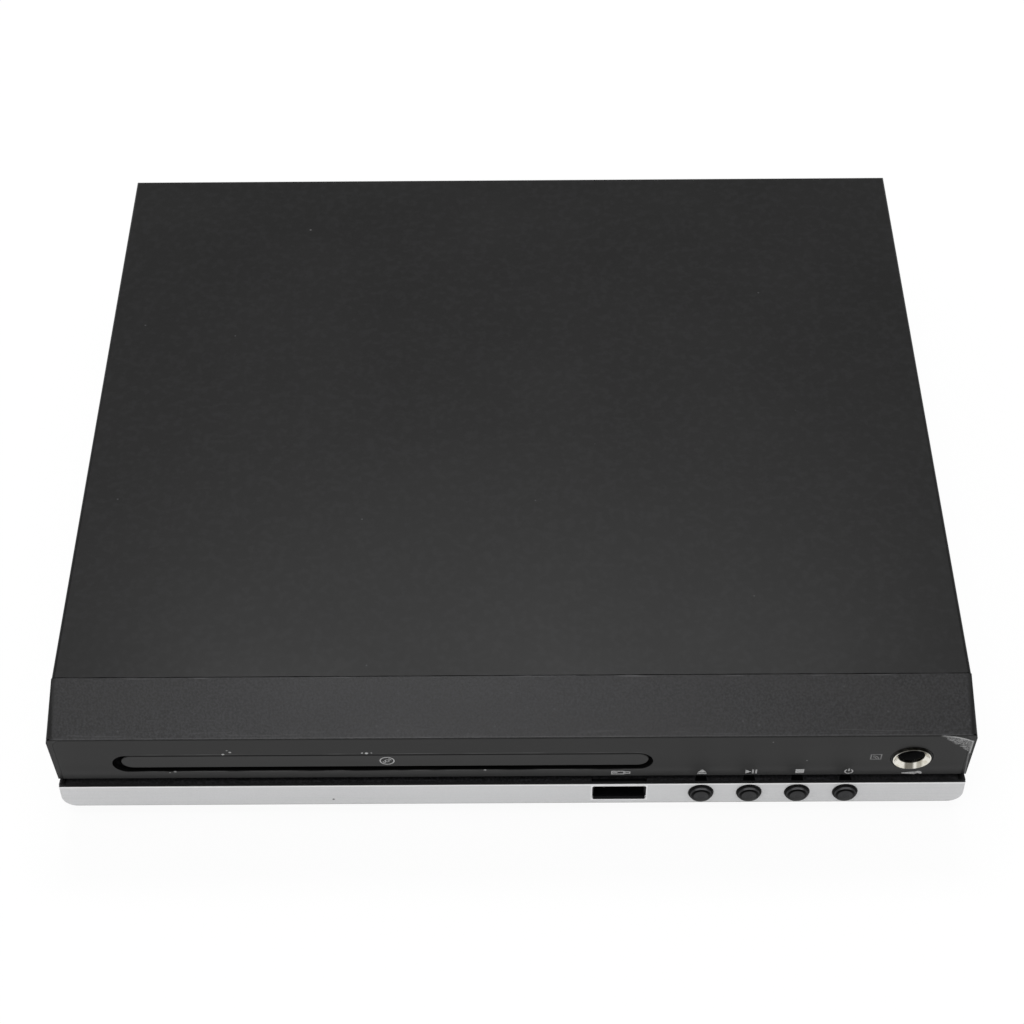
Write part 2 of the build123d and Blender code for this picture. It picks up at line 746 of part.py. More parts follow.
# Loader frame, a moulded channel that guides the tray and carries the mechanism
with BuildPart() as loader_frame:
    deck_opening_left = slot_x - deck_left - 2.5
    deck_opening_right = slot_x + deck_right + 2.5
    block(slot_x - frame_outer, slot_x + frame_outer, frame_front, frame_end, plate_bottom, plate_top)
    block(deck_opening_left, deck_opening_right, opening_front, opening_rear, 0, body_height, Mode.SUBTRACT)
    for sign in (-1, 1):
        near = slot_x + sign * frame_inner
        far = slot_x + sign * frame_outer
        rail = slot_x + sign * (frame_inner - 2.2)
        block(min(near, far), max(near, far), frame_front, frame_end, plate_bottom - 4.0, frame_top)
        block(min(rail, near), max(rail, near), frame_front, frame_end, plate_top, tray_bottom - guide_gap)
        block(min(rail, near), max(rail, near), frame_front, frame_end, tray_top + guide_gap, frame_top)
    for x, y in loader_posts:
        post(x, y, frame_foot, plate_bottom, frame_post_radius)
        post(x, y, frame_foot - 1, plate_bottom - 1, screw_hole_radius, Mode.SUBTRACT)
    # Gear posts and the motor hole
    post(drive_x, gear_y, plate_top, gear_top + 0.1, 1.5)
    post(pulley_x, gear_y, plate_top, gear_top + 0.1, 1.2)
    post(motor_x, gear_y, plate_bottom - 1, plate_top + 1, 3.3, Mode.SUBTRACT)
    # Bearings of the lifting deck
    lug_spans = [(deck_opening_left - 3.0, deck_opening_left), (deck_opening_right, deck_opening_right + 3.0)]
    for x0, x1 in lug_spans:
        block(x0, x1, pivot_y - 3.5, pivot_y + 3.5, pivot_z - 3.2, plate_bottom)
        axle(pivot_y, pivot_z, x0 - 1, x1 + 1, 2.05, Mode.SUBTRACT)
save(loader_frame, "loader_frame")

# Disc tray
with BuildPart() as disc_tray:
    door_back = face_plane.offset(-(door_sink + door_thickness * rake_cos + 0.02))
    half = tray_width / 2
    tray_start = y_edge + 2
    block(slot_x - half, slot_x + half, tray_start, tray_end, tray_bottom, tray_top)
    block(slot_x - half + tray_wall, slot_x + half - tray_wall, tray_start + 6.0, tray_end + 1,
          tray_bottom - 1, tray_top - tray_wall, Mode.SUBTRACT)
    post(slot_x, disc_y, recess_under, tray_top, disc_recess_radius + tray_wall)
    # Toothed rack under the left arm, hung from the tray's top by a rib
    rack_rib = rack_x - 4.0
    rack_start = tray_start + 9.0
    rack_end = tray_end - rack_tail
    with BuildSketch(level(tray_bottom)):
        with BuildLine():
            Polyline(*rack_outline(rack_x, rack_rib, gear_y, rack_start, rack_end,
                                   tray_module, gear_slack, 1), close=True)
        make_face()
    extrude(amount=recess_under + 0.2 - tray_bottom)
    block(rack_rib, rack_rib + 1.5, rack_start, rack_end, recess_under, tray_top - tray_wall + 0.1)
    # Recesses for a large and a small disc
    post(slot_x, disc_y, recess_floor, tray_top + 1, disc_recess_radius, Mode.SUBTRACT)
    post(slot_x, disc_y, recess_floor - small_recess_depth, tray_top + 1, small_recess_radius, Mode.SUBTRACT)
    # Opening for the turntable and the pickup, and the gap between the rear arms
    post(slot_x, disc_y, tray_bottom - 1, tray_top + 1, tray_opening / 2, Mode.SUBTRACT)
    block(slot_x - tray_opening / 2, slot_x + tray_opening / 2, disc_y, tray_end + 1,
          tray_bottom - 1, tray_top + 1, Mode.SUBTRACT)
    arm_start = disc_y + tray_arm_back
    block(slot_x - tray_arm_gap / 2, slot_x + tray_arm_gap / 2, arm_start, tray_end + 1,
          tray_bottom - 1, tray_top + 1, Mode.SUBTRACT)
    # Front edge follows the rake of the face
    split(bisect_by=door_back, keep=Keep.BOTTOM)
    for edge_x in (slot_x - half, slot_x + half):
        long_edges = disc_tray.edges().filter_by(Axis.Y)
        chamfer(long_edges.filter_by_position(Axis.X, edge_x - 0.01, edge_x + 0.01), 0.4)
save(disc_tray, "disc_tray")

# Tray door, flush with the face panel
with BuildPart() as tray_door:
    with BuildSketch(face_plane.offset(-door_sink)):
        with Locations((slot_x + door_shift_x, -slot_down + door_shift_up)):
            SlotOverall(door_width, door_height)
    extrude(amount=door_thickness, dir=(0, 1, 0))
    fillet(tray_door.faces().sort_by(Axis.Y)[0].edges(), 0.25)
save(tray_door, "tray_door")

# Tray gear train: drive gear, pulley gear, motor pulley, belt and motor
with BuildPart() as drive_gear:
    extrude(gear_profile(drive_x, gear_y, wheel_z, wheel_teeth, train_module, gear_slack, 0),
            amount=gear_layer)
    turn = 180 - 180 / drive_teeth
    extrude(gear_profile(drive_x, gear_y, upper_gear_z, drive_teeth, tray_module, gear_slack, turn),
            amount=gear_top - upper_gear_z)
    post(drive_x, gear_y, wheel_z - 1, gear_top + 1, 1.55, Mode.SUBTRACT)
save(drive_gear, "drive_gear")

with BuildPart() as pulley_gear:
    turn = 180 - 180 / pinion_teeth
    extrude(gear_profile(pulley_x, gear_y, wheel_z, pinion_teeth, train_module, gear_slack, turn),
            amount=gear_layer)
    post(pulley_x, gear_y, upper_gear_z, upper_gear_z + 0.3, pinion_radius - 1.2)
    post(pulley_x, gear_y, upper_gear_z + 0.3, gear_top, pulley_radius + pulley_rim)
    with Locations((pulley_x, gear_y, belt_z)):
        Cylinder(pulley_radius + pulley_rim + 1, belt_size + 2 * belt_gap, mode=Mode.SUBTRACT)
        Cylinder(pulley_radius, belt_size + 2 * belt_gap)
    post(pulley_x, gear_y, wheel_z - 1, gear_top + 1, 1.25, Mode.SUBTRACT)
save(pulley_gear, "pulley_gear")

with BuildPart() as motor_pulley:
    post(motor_x, gear_y, plate_top + 0.4, gear_top, motor_pulley_radius + pulley_rim)
    with Locations((motor_x, gear_y, belt_z)):
        Cylinder(motor_pulley_radius + pulley_rim + 1, belt_size + 2 * belt_gap, mode=Mode.SUBTRACT)
        Cylinder(motor_pulley_radius, belt_size + 2 * belt_gap)
    post(motor_x, gear_y, plate_top, gear_top + 1, 0.8, Mode.SUBTRACT)
save(motor_pulley, "motor_pulley")

with BuildPart() as drive_belt:
    for grow, mode in ((belt_gap + belt_size, Mode.ADD), (belt_gap, Mode.SUBTRACT)):
        with BuildSketch(level(belt_z - belt_size / 2)):
            with Locations((pulley_x, gear_y)):
                Circle(pulley_radius + grow)
            with Locations((motor_x, gear_y)):
                Circle(motor_pulley_radius + grow)
            make_hull()
        extrude(amount=belt_size, mode=mode)
save(drive_belt, "drive_belt")

with BuildPart() as loading_motor:
    post(motor_x, gear_y, pan_top + 0.5, plate_bottom, motor_radius)
    chamfer(loading_motor.edges().filter_by(GeomType.CIRCLE), 0.5)
    post(motor_x, gear_y, plate_bottom - 0.5, plate_top, 3.0)
    post(motor_x, gear_y, plate_bottom - 0.5, gear_top - 0.2, 0.75)
save(loading_motor, "loading_motor")

# Cam slider in front of the lifting deck
pin_z_level = pivot_z + 1.5
pin_reach = deck_front + 2.0
swing = math.radians(lift_angle)
pin_z_low = pivot_z - pin_reach * math.sin(swing) + (pin_z_level - pivot_z) * math.cos(swing)
pin_us = (-14.0, 14.0)
with BuildPart() as cam_slider:
    slider_left = slot_x + pin_us[0] - cam_travel - 4.0
    slider_right = slot_x + pin_us[1] + 6.0
    slider_top = plate_top + 1.3
    block(slider_left, slider_right, slider_front_y, slider_back_y, pan_top + 0.6, slider_top)
    # Two flanges that run above and below the frame's plate
    flange_left = slider_left + 4.0
    flange_right = slider_right - 2.0
    block(flange_left, flange_right, slider_front_y - 4.6, slider_front_y, plate_top + 0.3, slider_top)
    block(flange_left, flange_right, slider_front_y - 3.6, slider_front_y,
          plate_bottom - 1.3, plate_bottom - 0.3)
    slot_rise = pin_z_level - pin_z_low
    slot_tilt = -math.degrees(math.atan2(slot_rise, cam_travel))
    with BuildSketch(wall(slider_front_y - 1)):
        for u in pin_us:
            with Locations((slot_x + u - cam_travel / 2, (pin_z_low + pin_z_level) / 2)):
                SlotCenterToCenter(math.hypot(cam_travel, slot_rise), 2 * (cam_pin_radius + cam_slot_play),
                                   rotation=slot_tilt)
    extrude(amount=-4.0, mode=Mode.SUBTRACT)
save(cam_slider, "cam_slider")


def lowered(piece):
    """A piece of the lifting deck is drawn level, as when a disc plays, and stored lowered."""
    piece.part = piece.part.rotate(swing_axis, lift_angle)


# Lifting deck, a ring frame on two rear pivots with two cam pins at the front
deck_left_x = slot_x - deck_left
deck_right_x = slot_x + deck_right
deck_front_y = pivot_y - deck_front
deck_rear_y = pivot_y + deck_rear
inner_left_x = deck_left_x + deck_left_side
inner_right_x = deck_right_x - deck_side
damper_places = [
    (x, y)
    for x in (deck_left_x + 4.6, deck_right_x - 3.8)
    for y in (deck_front_y + 6.0, pivot_y - 14.0)
]
with BuildPart() as lift_frame:
    block(deck_left_x, deck_right_x, deck_front_y, deck_rear_y, deck_bottom, deck_top)
    block(inner_left_x, inner_right_x, deck_front_y + 12.0, deck_rear_y - 11.0, deck_bottom - 1, deck_top + 1,
          Mode.SUBTRACT)
    fillet(lift_frame.edges().filter_by(Axis.Z), 2.0)
    for u in pin_us:
        bar(slot_x + u, pin_z_level, slider_front_y + 0.1, deck_front_y + 2.0, cam_pin_radius)
    axle(pivot_y, pivot_z + 1.0, deck_left_x - 0.2, deck_left_x + 3, 2.6)
    axle(pivot_y, pivot_z + 1.0, deck_right_x - 3, deck_right_x + 0.2, 2.6)
    axle(pivot_y, pivot_z, deck_left_x - 5.0, deck_left_x + 3.0, 2.0)
    axle(pivot_y, pivot_z, deck_right_x - 3.0, deck_right_x + 5.0, 2.0)
    for x, y in damper_places:
        post(x, y, deck_bottom - 1, deck_top + 1, 1.1, Mode.SUBTRACT)
lowered(lift_frame)
save(lift_frame, "lift_frame")

# Steel chassis on rubber dampers
rod_xs = [slot_x - rod_spread, slot_x + rod_spread]
rod_front = disc_y + 4.7
rod_rear = pivot_y - 6.0
with BuildPart() as traverse_plate:
    block(deck_left_x + 1.0, deck_right_x - 0.6, deck_front_y + 2.0, pivot_y - 3.5,
          chassis_bottom, chassis_top)
    fillet(traverse_plate.edges().filter_by(Axis.Z), 3.0)
    block(slot_x - 18.0, slot_x + 18.0, disc_y + spindle_radius + 0.7, pivot_y - 7.0, chassis_bottom - 1,
          chassis_top + 1, Mode.SUBTRACT)
    post(slot_x, disc_y, chassis_bottom - 1, chassis_top + 1, 3.2, Mode.SUBTRACT)
    for x in rod_xs:
        for y in (rod_front + 4.0, rod_rear - 4.0):
            block(x - 3.0, x + 3.0, y - 2.0, y + 2.0, rod_z - 2.8, chassis_bottom)
            bar(x, rod_z, y - 3.0, y + 3.0, rod_radius, Mode.SUBTRACT)
    for x, y in damper_places:
        post(x, y, chassis_bottom - 1, chassis_top + 1, damper_neck + 0.05, Mode.SUBTRACT)
    sled_radius = sled_teeth * sled_module / 2
    sled_pinion_radius = sled_pinion_teeth * sled_module / 2
    sled_rack_x = slot_x + 19.5
    sled_x = sled_rack_x + sled_radius
    sled_y = pivot_y - 45.0
    sled_motor_x = sled_x + sled_radius + sled_pinion_radius
    sled_z = chassis_top + 0.3
    sled_top = sled_z + 1.6
    post(sled_x, sled_y, chassis_top, sled_top + 0.1, 1.0)
    post(sled_motor_x, sled_y, chassis_bottom - 1, chassis_top + 1, 2.1, Mode.SUBTRACT)
lowered(traverse_plate)
save(traverse_plate, "traverse_plate")

with BuildPart() as damper_grommets:
    damper_top = chassis_top + chassis_gap
    for x, y in damper_places:
        post(x, y, deck_top, damper_top, damper_radius)
        with Locations((x, y, (chassis_bottom + chassis_top) / 2)):
            Cylinder(damper_radius + 1, chassis_sheet, mode=Mode.SUBTRACT)
            Cylinder(damper_neck, chassis_sheet)
        post(x, y, deck_top - 1, damper_top + 1, 1.1, Mode.SUBTRACT)
lowered(damper_grommets)
save(damper_grommets, "damper_grommets")

with BuildPart() as damper_screws:
    places = [Location((x, y, damper_top)) for x, y in damper_places]
    screws(places, 2.7, 0.9, 1.0, damper_top - deck_top + 2.5)
lowered(damper_screws)
save(damper_screws, "damper_screws")

# Disc motor with its turntable
with BuildPart() as spindle_motor:
    post(slot_x, disc_y, chassis_bottom - 6.7, chassis_bottom, spindle_radius)
    chamfer(spindle_motor.edges().filter_by(GeomType.CIRCLE).sort_by(Axis.Z)[0], 0.8)
    post(slot_x, disc_y, chassis_bottom - 1, chassis_top + 0.8, 3.0)
    post(slot_x, disc_y, chassis_bottom - 1, seat_z + 1.2, 0.75)
lowered(spindle_motor)
save(spindle_motor, "spindle_motor")

mat_height = 0.3
with BuildPart() as turntable:
    with BuildSketch(side(slot_x)):
        with BuildLine():
            Polyline(
                (disc_y, chassis_top + 1.3),
                (disc_y + 5.0, chassis_top + 1.3),
                (disc_y + 5.0, seat_z - 2.0),
                (disc_y + turntable_radius, seat_z - 2.0),
                (disc_y + turntable_radius, seat_z - mat_height),
                (disc_y + hub_radius, seat_z - mat_height),
                (disc_y + hub_radius, seat_z + 1.0),
                (disc_y + hub_radius - 1.9, seat_z + 2.2),
                (disc_y, seat_z + 2.2),
                close=True,
            )
        make_face()
    revolve(axis=Axis((slot_x, disc_y, 0), (0, 0, 1)))
    post(slot_x, disc_y, chassis_top, seat_z + 1.6, 0.8, Mode.SUBTRACT)
lowered(turntable)
save(turntable, "turntable")

with BuildPart() as turntable_mat:
    post(slot_x, disc_y, seat_z - mat_height, seat_z, turntable_radius - 0.4)
    post(slot_x, disc_y, seat_z - 1, seat_z + 1, hub_radius + 1.6, Mode.SUBTRACT)
lowered(turntable_mat)
save(turntable_mat, "turntable_mat")

# Guide rods, pickup and its rack
with BuildPart() as guide_rods:
    for x in rod_xs:
        bar(x, rod_z, rod_front, rod_rear, rod_radius)
lowered(guide_rods)
save(guide_rods, "guide_rods")

pickup_top = recess_under - 0.7
with BuildPart() as pickup_body:
    block(slot_x - 16.0, slot_x + 16.0, lens_y - 10.5, lens_y + 18.0, chassis_bottom - 7.0, pickup_top - 2.2)
    fillet(pickup_body.edges().filter_by(Axis.Z), 2.5)
    block(slot_x - 9.0, slot_x + 9.0, lens_y - 7.0, lens_y + 7.0, pickup_top - 3.0, pickup_top)
    for x in rod_xs:
        toward = math.copysign(5.5, slot_x - x)
        block(min(x - 3.0, x + toward), max(x + 3.0, x + toward), lens_y - 4.0, lens_y + 12.0,
              rod_z - 2.6, chassis_bottom - 0.4)
        bar(x, rod_z, lens_y - 5.0, lens_y + 13.0, rod_radius + 0.06, Mode.SUBTRACT)
    post(slot_x, lens_y, pickup_top - 1.5, pickup_top + 1, 4.4, Mode.SUBTRACT)
lowered(pickup_body)
save(pickup_body, "pickup_body")

with BuildPart() as objective_lens:
    lens_radius = 2.6
    lens_height = 0.5
    holder_top = pickup_top + 0.5
    middle_radius, middle_drop = dome_middle(lens_radius, lens_height)
    with BuildSketch(Plane((slot_x, lens_y, holder_top), x_dir=(1, 0, 0), z_dir=(0, -1, 0))):
        with BuildLine():
            Polyline((0, lens_height), (0, -2.0), (4.0, -2.0), (4.0, 0), (lens_radius, 0))
            ThreePointArc((lens_radius, 0), (middle_radius, lens_height - middle_drop), (0, lens_height))
        make_face()
    revolve(axis=Axis((slot_x, lens_y, 0), (0, 0, 1)))
lowered(objective_lens)
save(objective_lens, "objective_lens")

with BuildPart() as pickup_rack:
    with BuildSketch(level(sled_z + 0.1)):
        with BuildLine():
            Polyline(*rack_outline(sled_rack_x, slot_x + 16.1, sled_y, lens_y - 21.5, lens_y + 18.7,
                                   sled_module, sled_slack, 1), close=True)
        make_face()
    extrude(amount=1.4)
    block(slot_x + 15.0, slot_x + 18.0, lens_y - 8.0, lens_y + 14.0, pickup_top - 2.2, sled_z + 1.5)
lowered(pickup_rack)
save(pickup_rack, "pickup_rack")

with BuildPart() as sled_gear:
    turn = 180 - 180 / sled_teeth
    extrude(gear_profile(sled_x, sled_y, sled_z, sled_teeth, sled_module, sled_slack, turn),
            amount=sled_top - sled_z)
    post(sled_x, sled_y, sled_z - 1, sled_top + 1, 1.05, Mode.SUBTRACT)
lowered(sled_gear)
save(sled_gear, "sled_gear")

with BuildPart() as sled_pinion:
    # The sled gear shows a space here when its count of teeth is even, and a tooth when it is odd
    turn = 180 - (sled_teeth % 2) * 180 / sled_pinion_teeth
    extrude(gear_profile(sled_motor_x, sled_y, sled_z, sled_pinion_teeth, sled_module, sled_slack, turn),
            amount=sled_top - sled_z)
    post(sled_motor_x, sled_y, sled_z - 1, sled_top + 1, 0.8, Mode.SUBTRACT)
lowered(sled_pinion)
save(sled_pinion, "sled_pinion")

with BuildPart() as sled_motor:
    post(sled_motor_x, sled_y, chassis_bottom - 7.0, chassis_bottom, 7.5)
    chamfer(sled_motor.edges().filter_by(GeomType.CIRCLE).sort_by(Axis.Z)[0], 0.6)
    post(sled_motor_x, sled_y, chassis_bottom - 1, chassis_top, 2.0)
    post(sled_motor_x, sled_y, chassis_bottom - 1, sled_top, 0.75)
lowered(sled_motor)
save(sled_motor, "sled_motor")

# Clamper bridge over the disc, with the floating clamper
bridge_z = frame_top + 1.2
with BuildPart() as clamper_bridge:
    y0 = disc_y - bridge_width / 2
    y1 = disc_y + bridge_width / 2
    block(slot_x - frame_outer - 1.3, slot_x + frame_outer + 1.3, y0, y1, bridge_z, bridge_z + bridge_sheet)
    for sign in (-1, 1):
        near = slot_x + sign * frame_inner
        far = slot_x + sign * frame_outer
        clip = slot_x + sign * (frame_outer + 1.3)
        block(min(near, far), max(near, far), y0, y1, frame_top, bridge_z)
        block(min(far, clip) + 0.05 * (sign > 0), max(far, clip) - 0.05 * (sign < 0), y0, y1,
              frame_top - 5.0, bridge_z)
    post(slot_x, disc_y, bridge_z - 1, bridge_z + 3, 10.8, Mode.SUBTRACT)
save(clamper_bridge, "clamper_bridge")

clamper_z = tray_top + 0.8
with BuildPart() as clamper:
    post(slot_x, disc_y, clamper_z, bridge_z - 0.5, clamper_radius)
    post(slot_x, disc_y, bridge_z - 0.5, bridge_z + bridge_sheet + 0.3, 10.0)
    post(slot_x, disc_y, bridge_z + bridge_sheet + 0.3, bridge_z + bridge_sheet + 1.3, 12.5)
    post(slot_x, disc_y, clamper_z - 1, clamper_z + 1.7, hub_radius + 1.2, Mode.SUBTRACT)
save(clamper, "clamper")

with BuildPart() as clamp_magnet:
    post(slot_x, disc_y, bridge_z + bridge_sheet + 1.3, bridge_z + bridge_sheet + 2.5, 8.0)
    post(slot_x, disc_y, bridge_z, bridge_z + bridge_sheet + 4, 2.5, Mode.SUBTRACT)
save(clamp_magnet, "clamp_magnet")

# Front board with its key switches, memory socket and remote sensor
with BuildPart() as front_board:
    block(front_board_left, front_board_right, front_board_front, front_board_back,
          usb_board_z - front_board_thickness, usb_board_z)
    for x, y in front_board_screws:
        post(x, y, usb_board_z - 2, usb_board_z + 1, screw_pass_radius, Mode.SUBTRACT)
save(front_board, "front_board")

stem_end = lower_inner + 4.0
plunger_front = stem_end + button_travel + 0.1
with BuildPart() as key_switches:
    for x in button_xs:
        block(x - 3.0, x + 3.0, plunger_front + 1.2, plunger_front + 5.0, usb_board_z, button_z + 2.4)
        bar(x, button_z, plunger_front, plunger_front + 1.3, 1.2)
save(key_switches, "key_switches")

for index, name in enumerate(("eject_button", "play_button", "stop_button", "power_button")):
    with BuildPart() as button:
        x = button_xs[index]
        cap_radius = button_hole_radius - button_gap
        tip_y = strip_face_y - cap_reach
        step_y = strip_face_y - cap_step
        with BuildSketch(Plane(origin=(x, 0, button_z), x_dir=(0, 1, 0), z_dir=(0, 0, 1))):
            middle_radius, middle_drop = dome_middle(cap_dome_radius, cap_dome_height)
            with BuildLine():
                ThreePointArc((tip_y, 0), (tip_y + middle_drop, middle_radius),
                              (tip_y + cap_dome_height, cap_dome_radius))
                Polyline(
                    (tip_y + cap_dome_height, cap_dome_radius),
                    (step_y, cap_dome_radius),
                    (step_y + 0.1, cap_radius - 0.1),
                    (step_y + 0.25, cap_radius),
                    (lower_inner + 0.2, cap_radius),
                    (lower_inner + 0.2, 0),
                    (tip_y, 0),
                )
            make_face()
        revolve(axis=Axis((x, 0, button_z), (0, 1, 0)))
        block(x - 4.7, x + 4.7, lower_inner + 0.2, lower_inner + 1.4, button_z - 1.8, button_z + 1.8)
        bar(x, button_z, lower_inner + 1.2, stem_end, 1.5)
    save(button, name)

with BuildPart() as usb_shell:
    shell_half = usb_hole_width / 2 - 0.15
    shell_front = ledge_front_y + 0.1
    block(usb_x - shell_half, usb_x + shell_half, shell_front, shell_front + usb_depth, usb_board_z,
          usb_board_z + usb_shell_height)
    cavity_half = shell_half - usb_sheet
    block(usb_x - cavity_half, usb_x + cavity_half, shell_front - 1, shell_front + usb_depth - usb_sheet,
          usb_board_z + usb_sheet, usb_board_z + usb_shell_height - usb_sheet, Mode.SUBTRACT)
save(usb_shell, "usb_shell")

with BuildPart() as usb_tongue:
    back = shell_front + usb_depth - usb_sheet
    block(usb_x - shell_half + 0.5, usb_x + shell_half - 0.5, back - 3.0, back, usb_board_z + usb_sheet,
          usb_board_z + usb_shell_height - usb_sheet)
    block(usb_x - 5.6, usb_x + 5.6, shell_front + 1.6, back - 2.0, usb_z + 0.1, usb_z + 1.9)
save(usb_tongue, "usb_tongue")

with BuildPart() as ir_sensor:
    sensor_place = face_plane.location * Location((sensor_x, -sensor_down, 0))
    with Locations(sensor_place * Location((0, 0, -panel_thickness - 0.2))):
        Cylinder(sensor_width / 2, 2.2, align=(Align.CENTER, Align.CENTER, Align.MAX))
    with Locations(sensor_place * Location((0, 0, -panel_thickness - bezel_wall - 0.2))):
        Box(sensor_width, 6.4, 2.6, align=(Align.CENTER, Align.CENTER, Align.MAX))
    sensor_y = y_edge + panel_thickness + bezel_wall + 1.6 + sensor_down * rake_sin
    sensor_z = z_edge - sensor_down * rake_cos
    leg_y = max(sensor_y, front_board_front + 0.8)
    for offset in (-1.8, 0.0, 1.8):
        block(sensor_x + offset - 0.25, sensor_x + offset + 0.25, leg_y - 0.25, leg_y + 0.25,
              usb_board_z, sensor_z - 2.0)
        block(sensor_x + offset - 0.25, sensor_x + offset + 0.25, sensor_y - 0.6, leg_y + 0.25,
              sensor_z - 2.5, sensor_z - 2.0)
save(ir_sensor, "ir_sensor")

# Microphone socket, square to the raked face
mic_place = face_plane.location * Location((mic_x, -mic_down, 0))
with BuildPart() as mic_jack_body:
    sleeve_start = panel_thickness - 0.3
    body_start = panel_thickness + bezel_wall + 0.1
    with Locations(mic_place * Location((0, 0, -sleeve_start))):
        Cylinder(mic_ring_radius - 0.15, body_start - sleeve_start + 0.5,
                 align=(Align.CENTER, Align.CENTER, Align.MAX))
    with Locations(mic_place * Location((0, 0, -body_start))):
        Box(mic_body_width, mic_body_width, mic_body_length, align=(Align.CENTER, Align.CENTER, Align.MAX))
    with Locations(mic_place):
        Cylinder(mic_bore_radius, body_start + mic_body_length - 2.0,
                 align=(Align.CENTER, Align.CENTER, Align.MAX), mode=Mode.SUBTRACT)
save(mic_jack_body, "mic_jack_body")

with BuildPart() as mic_jack_ring:
    with Locations(mic_place * Location((0, 0, mic_ring_proud))):
        Cylinder(mic_ring_radius, mic_ring_proud + sleeve_start,
                 align=(Align.CENTER, Align.CENTER, Align.MAX))
    with Locations(mic_place * Location((0, 0, mic_ring_proud))):
        CounterSinkHole(mic_bore_radius, mic_ring_radius - 0.25, depth=6.0, counter_sink_angle=100)
save(mic_jack_ring, "mic_jack_ring")

# Main board with its chip and ribbon sockets
main_middle_x = (main_board_left + main_board_right) / 2
with BuildPart() as main_board:
    block(main_board_left, main_board_right, main_board_front, main_board_back,
          board_z - board_thickness, board_z)
    for x, y in main_screws:
        post(x, y, board_z - 3, board_z + 1, screw_pass_radius, Mode.SUBTRACT)
save(main_board, "main_board")

with BuildPart() as decoder_chip:
    chip_y = main_board_front + 52.0
    block(main_middle_x - 11, main_middle_x + 11, chip_y - 11, chip_y + 11, board_z, board_z + 0.5)
    block(main_middle_x - 10, main_middle_x + 10, chip_y - 10, chip_y + 10, board_z + 0.4, board_z + 1.8)
save(decoder_chip, "decoder_chip")

ribbon_width = 12.0
ribbon_x = main_middle_x
socket_width = ribbon_width + 3.0
with BuildPart() as ribbon_sockets:
    front_socket = (front_board_back - 5.0, front_board_back - 0.8, usb_board_z)
    main_socket = (main_board_front + 1.0, main_board_front + 5.2, board_z)
    for y0, y1, z in (front_socket, main_socket):
        block(ribbon_x - socket_width / 2, ribbon_x + socket_width / 2, y0, y1, z, z + 2.6)
        mouth_half = ribbon_width / 2 + 0.1
        shift = 1 if z < board_z else -1
        block(ribbon_x - mouth_half, ribbon_x + mouth_half, y0 + shift, y1 + shift, z + 1.0, z + 1.6,
              Mode.SUBTRACT)
save(ribbon_sockets, "ribbon_sockets")

with BuildPart() as front_ribbon:
    with BuildSketch(side(ribbon_x - ribbon_width / 2)):
        with BuildLine():
            low = usb_board_z + 1.3
            high = board_z + 1.3
            FilletPolyline(
                (front_board_back - 3.4, low),
                (front_board_back + 8.0, low),
                (main_board_front - 8.0, high),
                (main_board_front + 3.6, high),
                radius=6.0,
            )
        trace(line_width=0.4)
    extrude(amount=ribbon_width)
save(front_ribbon, "front_ribbon")

# Power board with its parts
power_middle_x = (power_board_left + power_board_right) / 2
transformer_y = power_board_front + transformer_setback
large_capacitor_y = transformer_y + transformer_length / 2 + large_capacitor_radius + 7.7
small_capacitor_y = transformer_y - transformer_length / 2 - small_capacitor_radius - 8.0
with BuildPart() as power_board:
    block(power_board_left, power_board_right, power_board_front, main_board_back,
          board_z - board_thickness, board_z)
    for x, y in power_screws:
        post(x, y, board_z - 3, board_z + 1, screw_pass_radius, Mode.SUBTRACT)
save(power_board, "power_board")

with BuildPart() as transformer:
    # Ferrite core across, bobbin foot and winding along
    core_half = transformer_width / 2
    foot_half = transformer_length / 2
    winding_half = foot_half - 0.6
    core_low = board_z + bobbin_foot - 0.6
    block(power_middle_x - core_half, power_middle_x + core_half, transformer_y - core_thickness / 2,
          transformer_y + core_thickness / 2, core_low, board_z + transformer_height)
    block(power_middle_x - winding_width / 2 - 0.5, power_middle_x + winding_width / 2 + 0.5,
          transformer_y - foot_half, transformer_y + foot_half, board_z, board_z + bobbin_foot)
    block(power_middle_x - winding_width / 2, power_middle_x + winding_width / 2,
          transformer_y - winding_half, transformer_y + winding_half,
          core_low, board_z + transformer_height - 2.0)
save(transformer, "transformer")

with BuildPart() as filter_capacitors:
    post(power_middle_x, large_capacitor_y, board_z, board_z + large_capacitor_height, large_capacitor_radius)
    for side_step, y in ((0, small_capacitor_y), (small_capacitor_step, small_capacitor_y - 10.0)):
        post(power_middle_x + side_step, y, board_z, board_z + small_capacitor_height, small_capacitor_radius)
    chamfer(filter_capacitors.edges().filter_by(GeomType.CIRCLE).group_by(Axis.Z)[-1], 0.5)
save(filter_capacitors, "filter_capacitors")

with BuildPart() as heat_sink:
    sink_x = power_board_left + board_edge + 1.45
    sink_front = large_capacitor_y - sink_length / 2 - 2.0
    block(sink_x, sink_x + sink_sheet, sink_front, sink_front + sink_length, board_z, board_z + sink_height)
    for fin_y in (sink_front + 1.0, sink_front + sink_length - 1.8):
        block(sink_x + sink_sheet - 0.5, sink_x + sink_reach, fin_y, fin_y + fin_thickness,
              board_z + 3.0, board_z + sink_height)
save(heat_sink, "heat_sink")

# Rear sockets
with BuildPart() as rca_block:
    block_half = rca_block_width / 2
    block(rca_x - block_half, rca_x + block_half, panel_inside - 12.0, panel_inside - 0.1, board_z,
          board_z + rca_rise + rca_row_gap + rca_collar_radius + 1.4)
    for x, z in rca_spots:
        bar(x, z, panel_inside - 5.0, panel_inside, rca_collar_radius + 0.05, Mode.SUBTRACT)
save(rca_block, "rca_block")

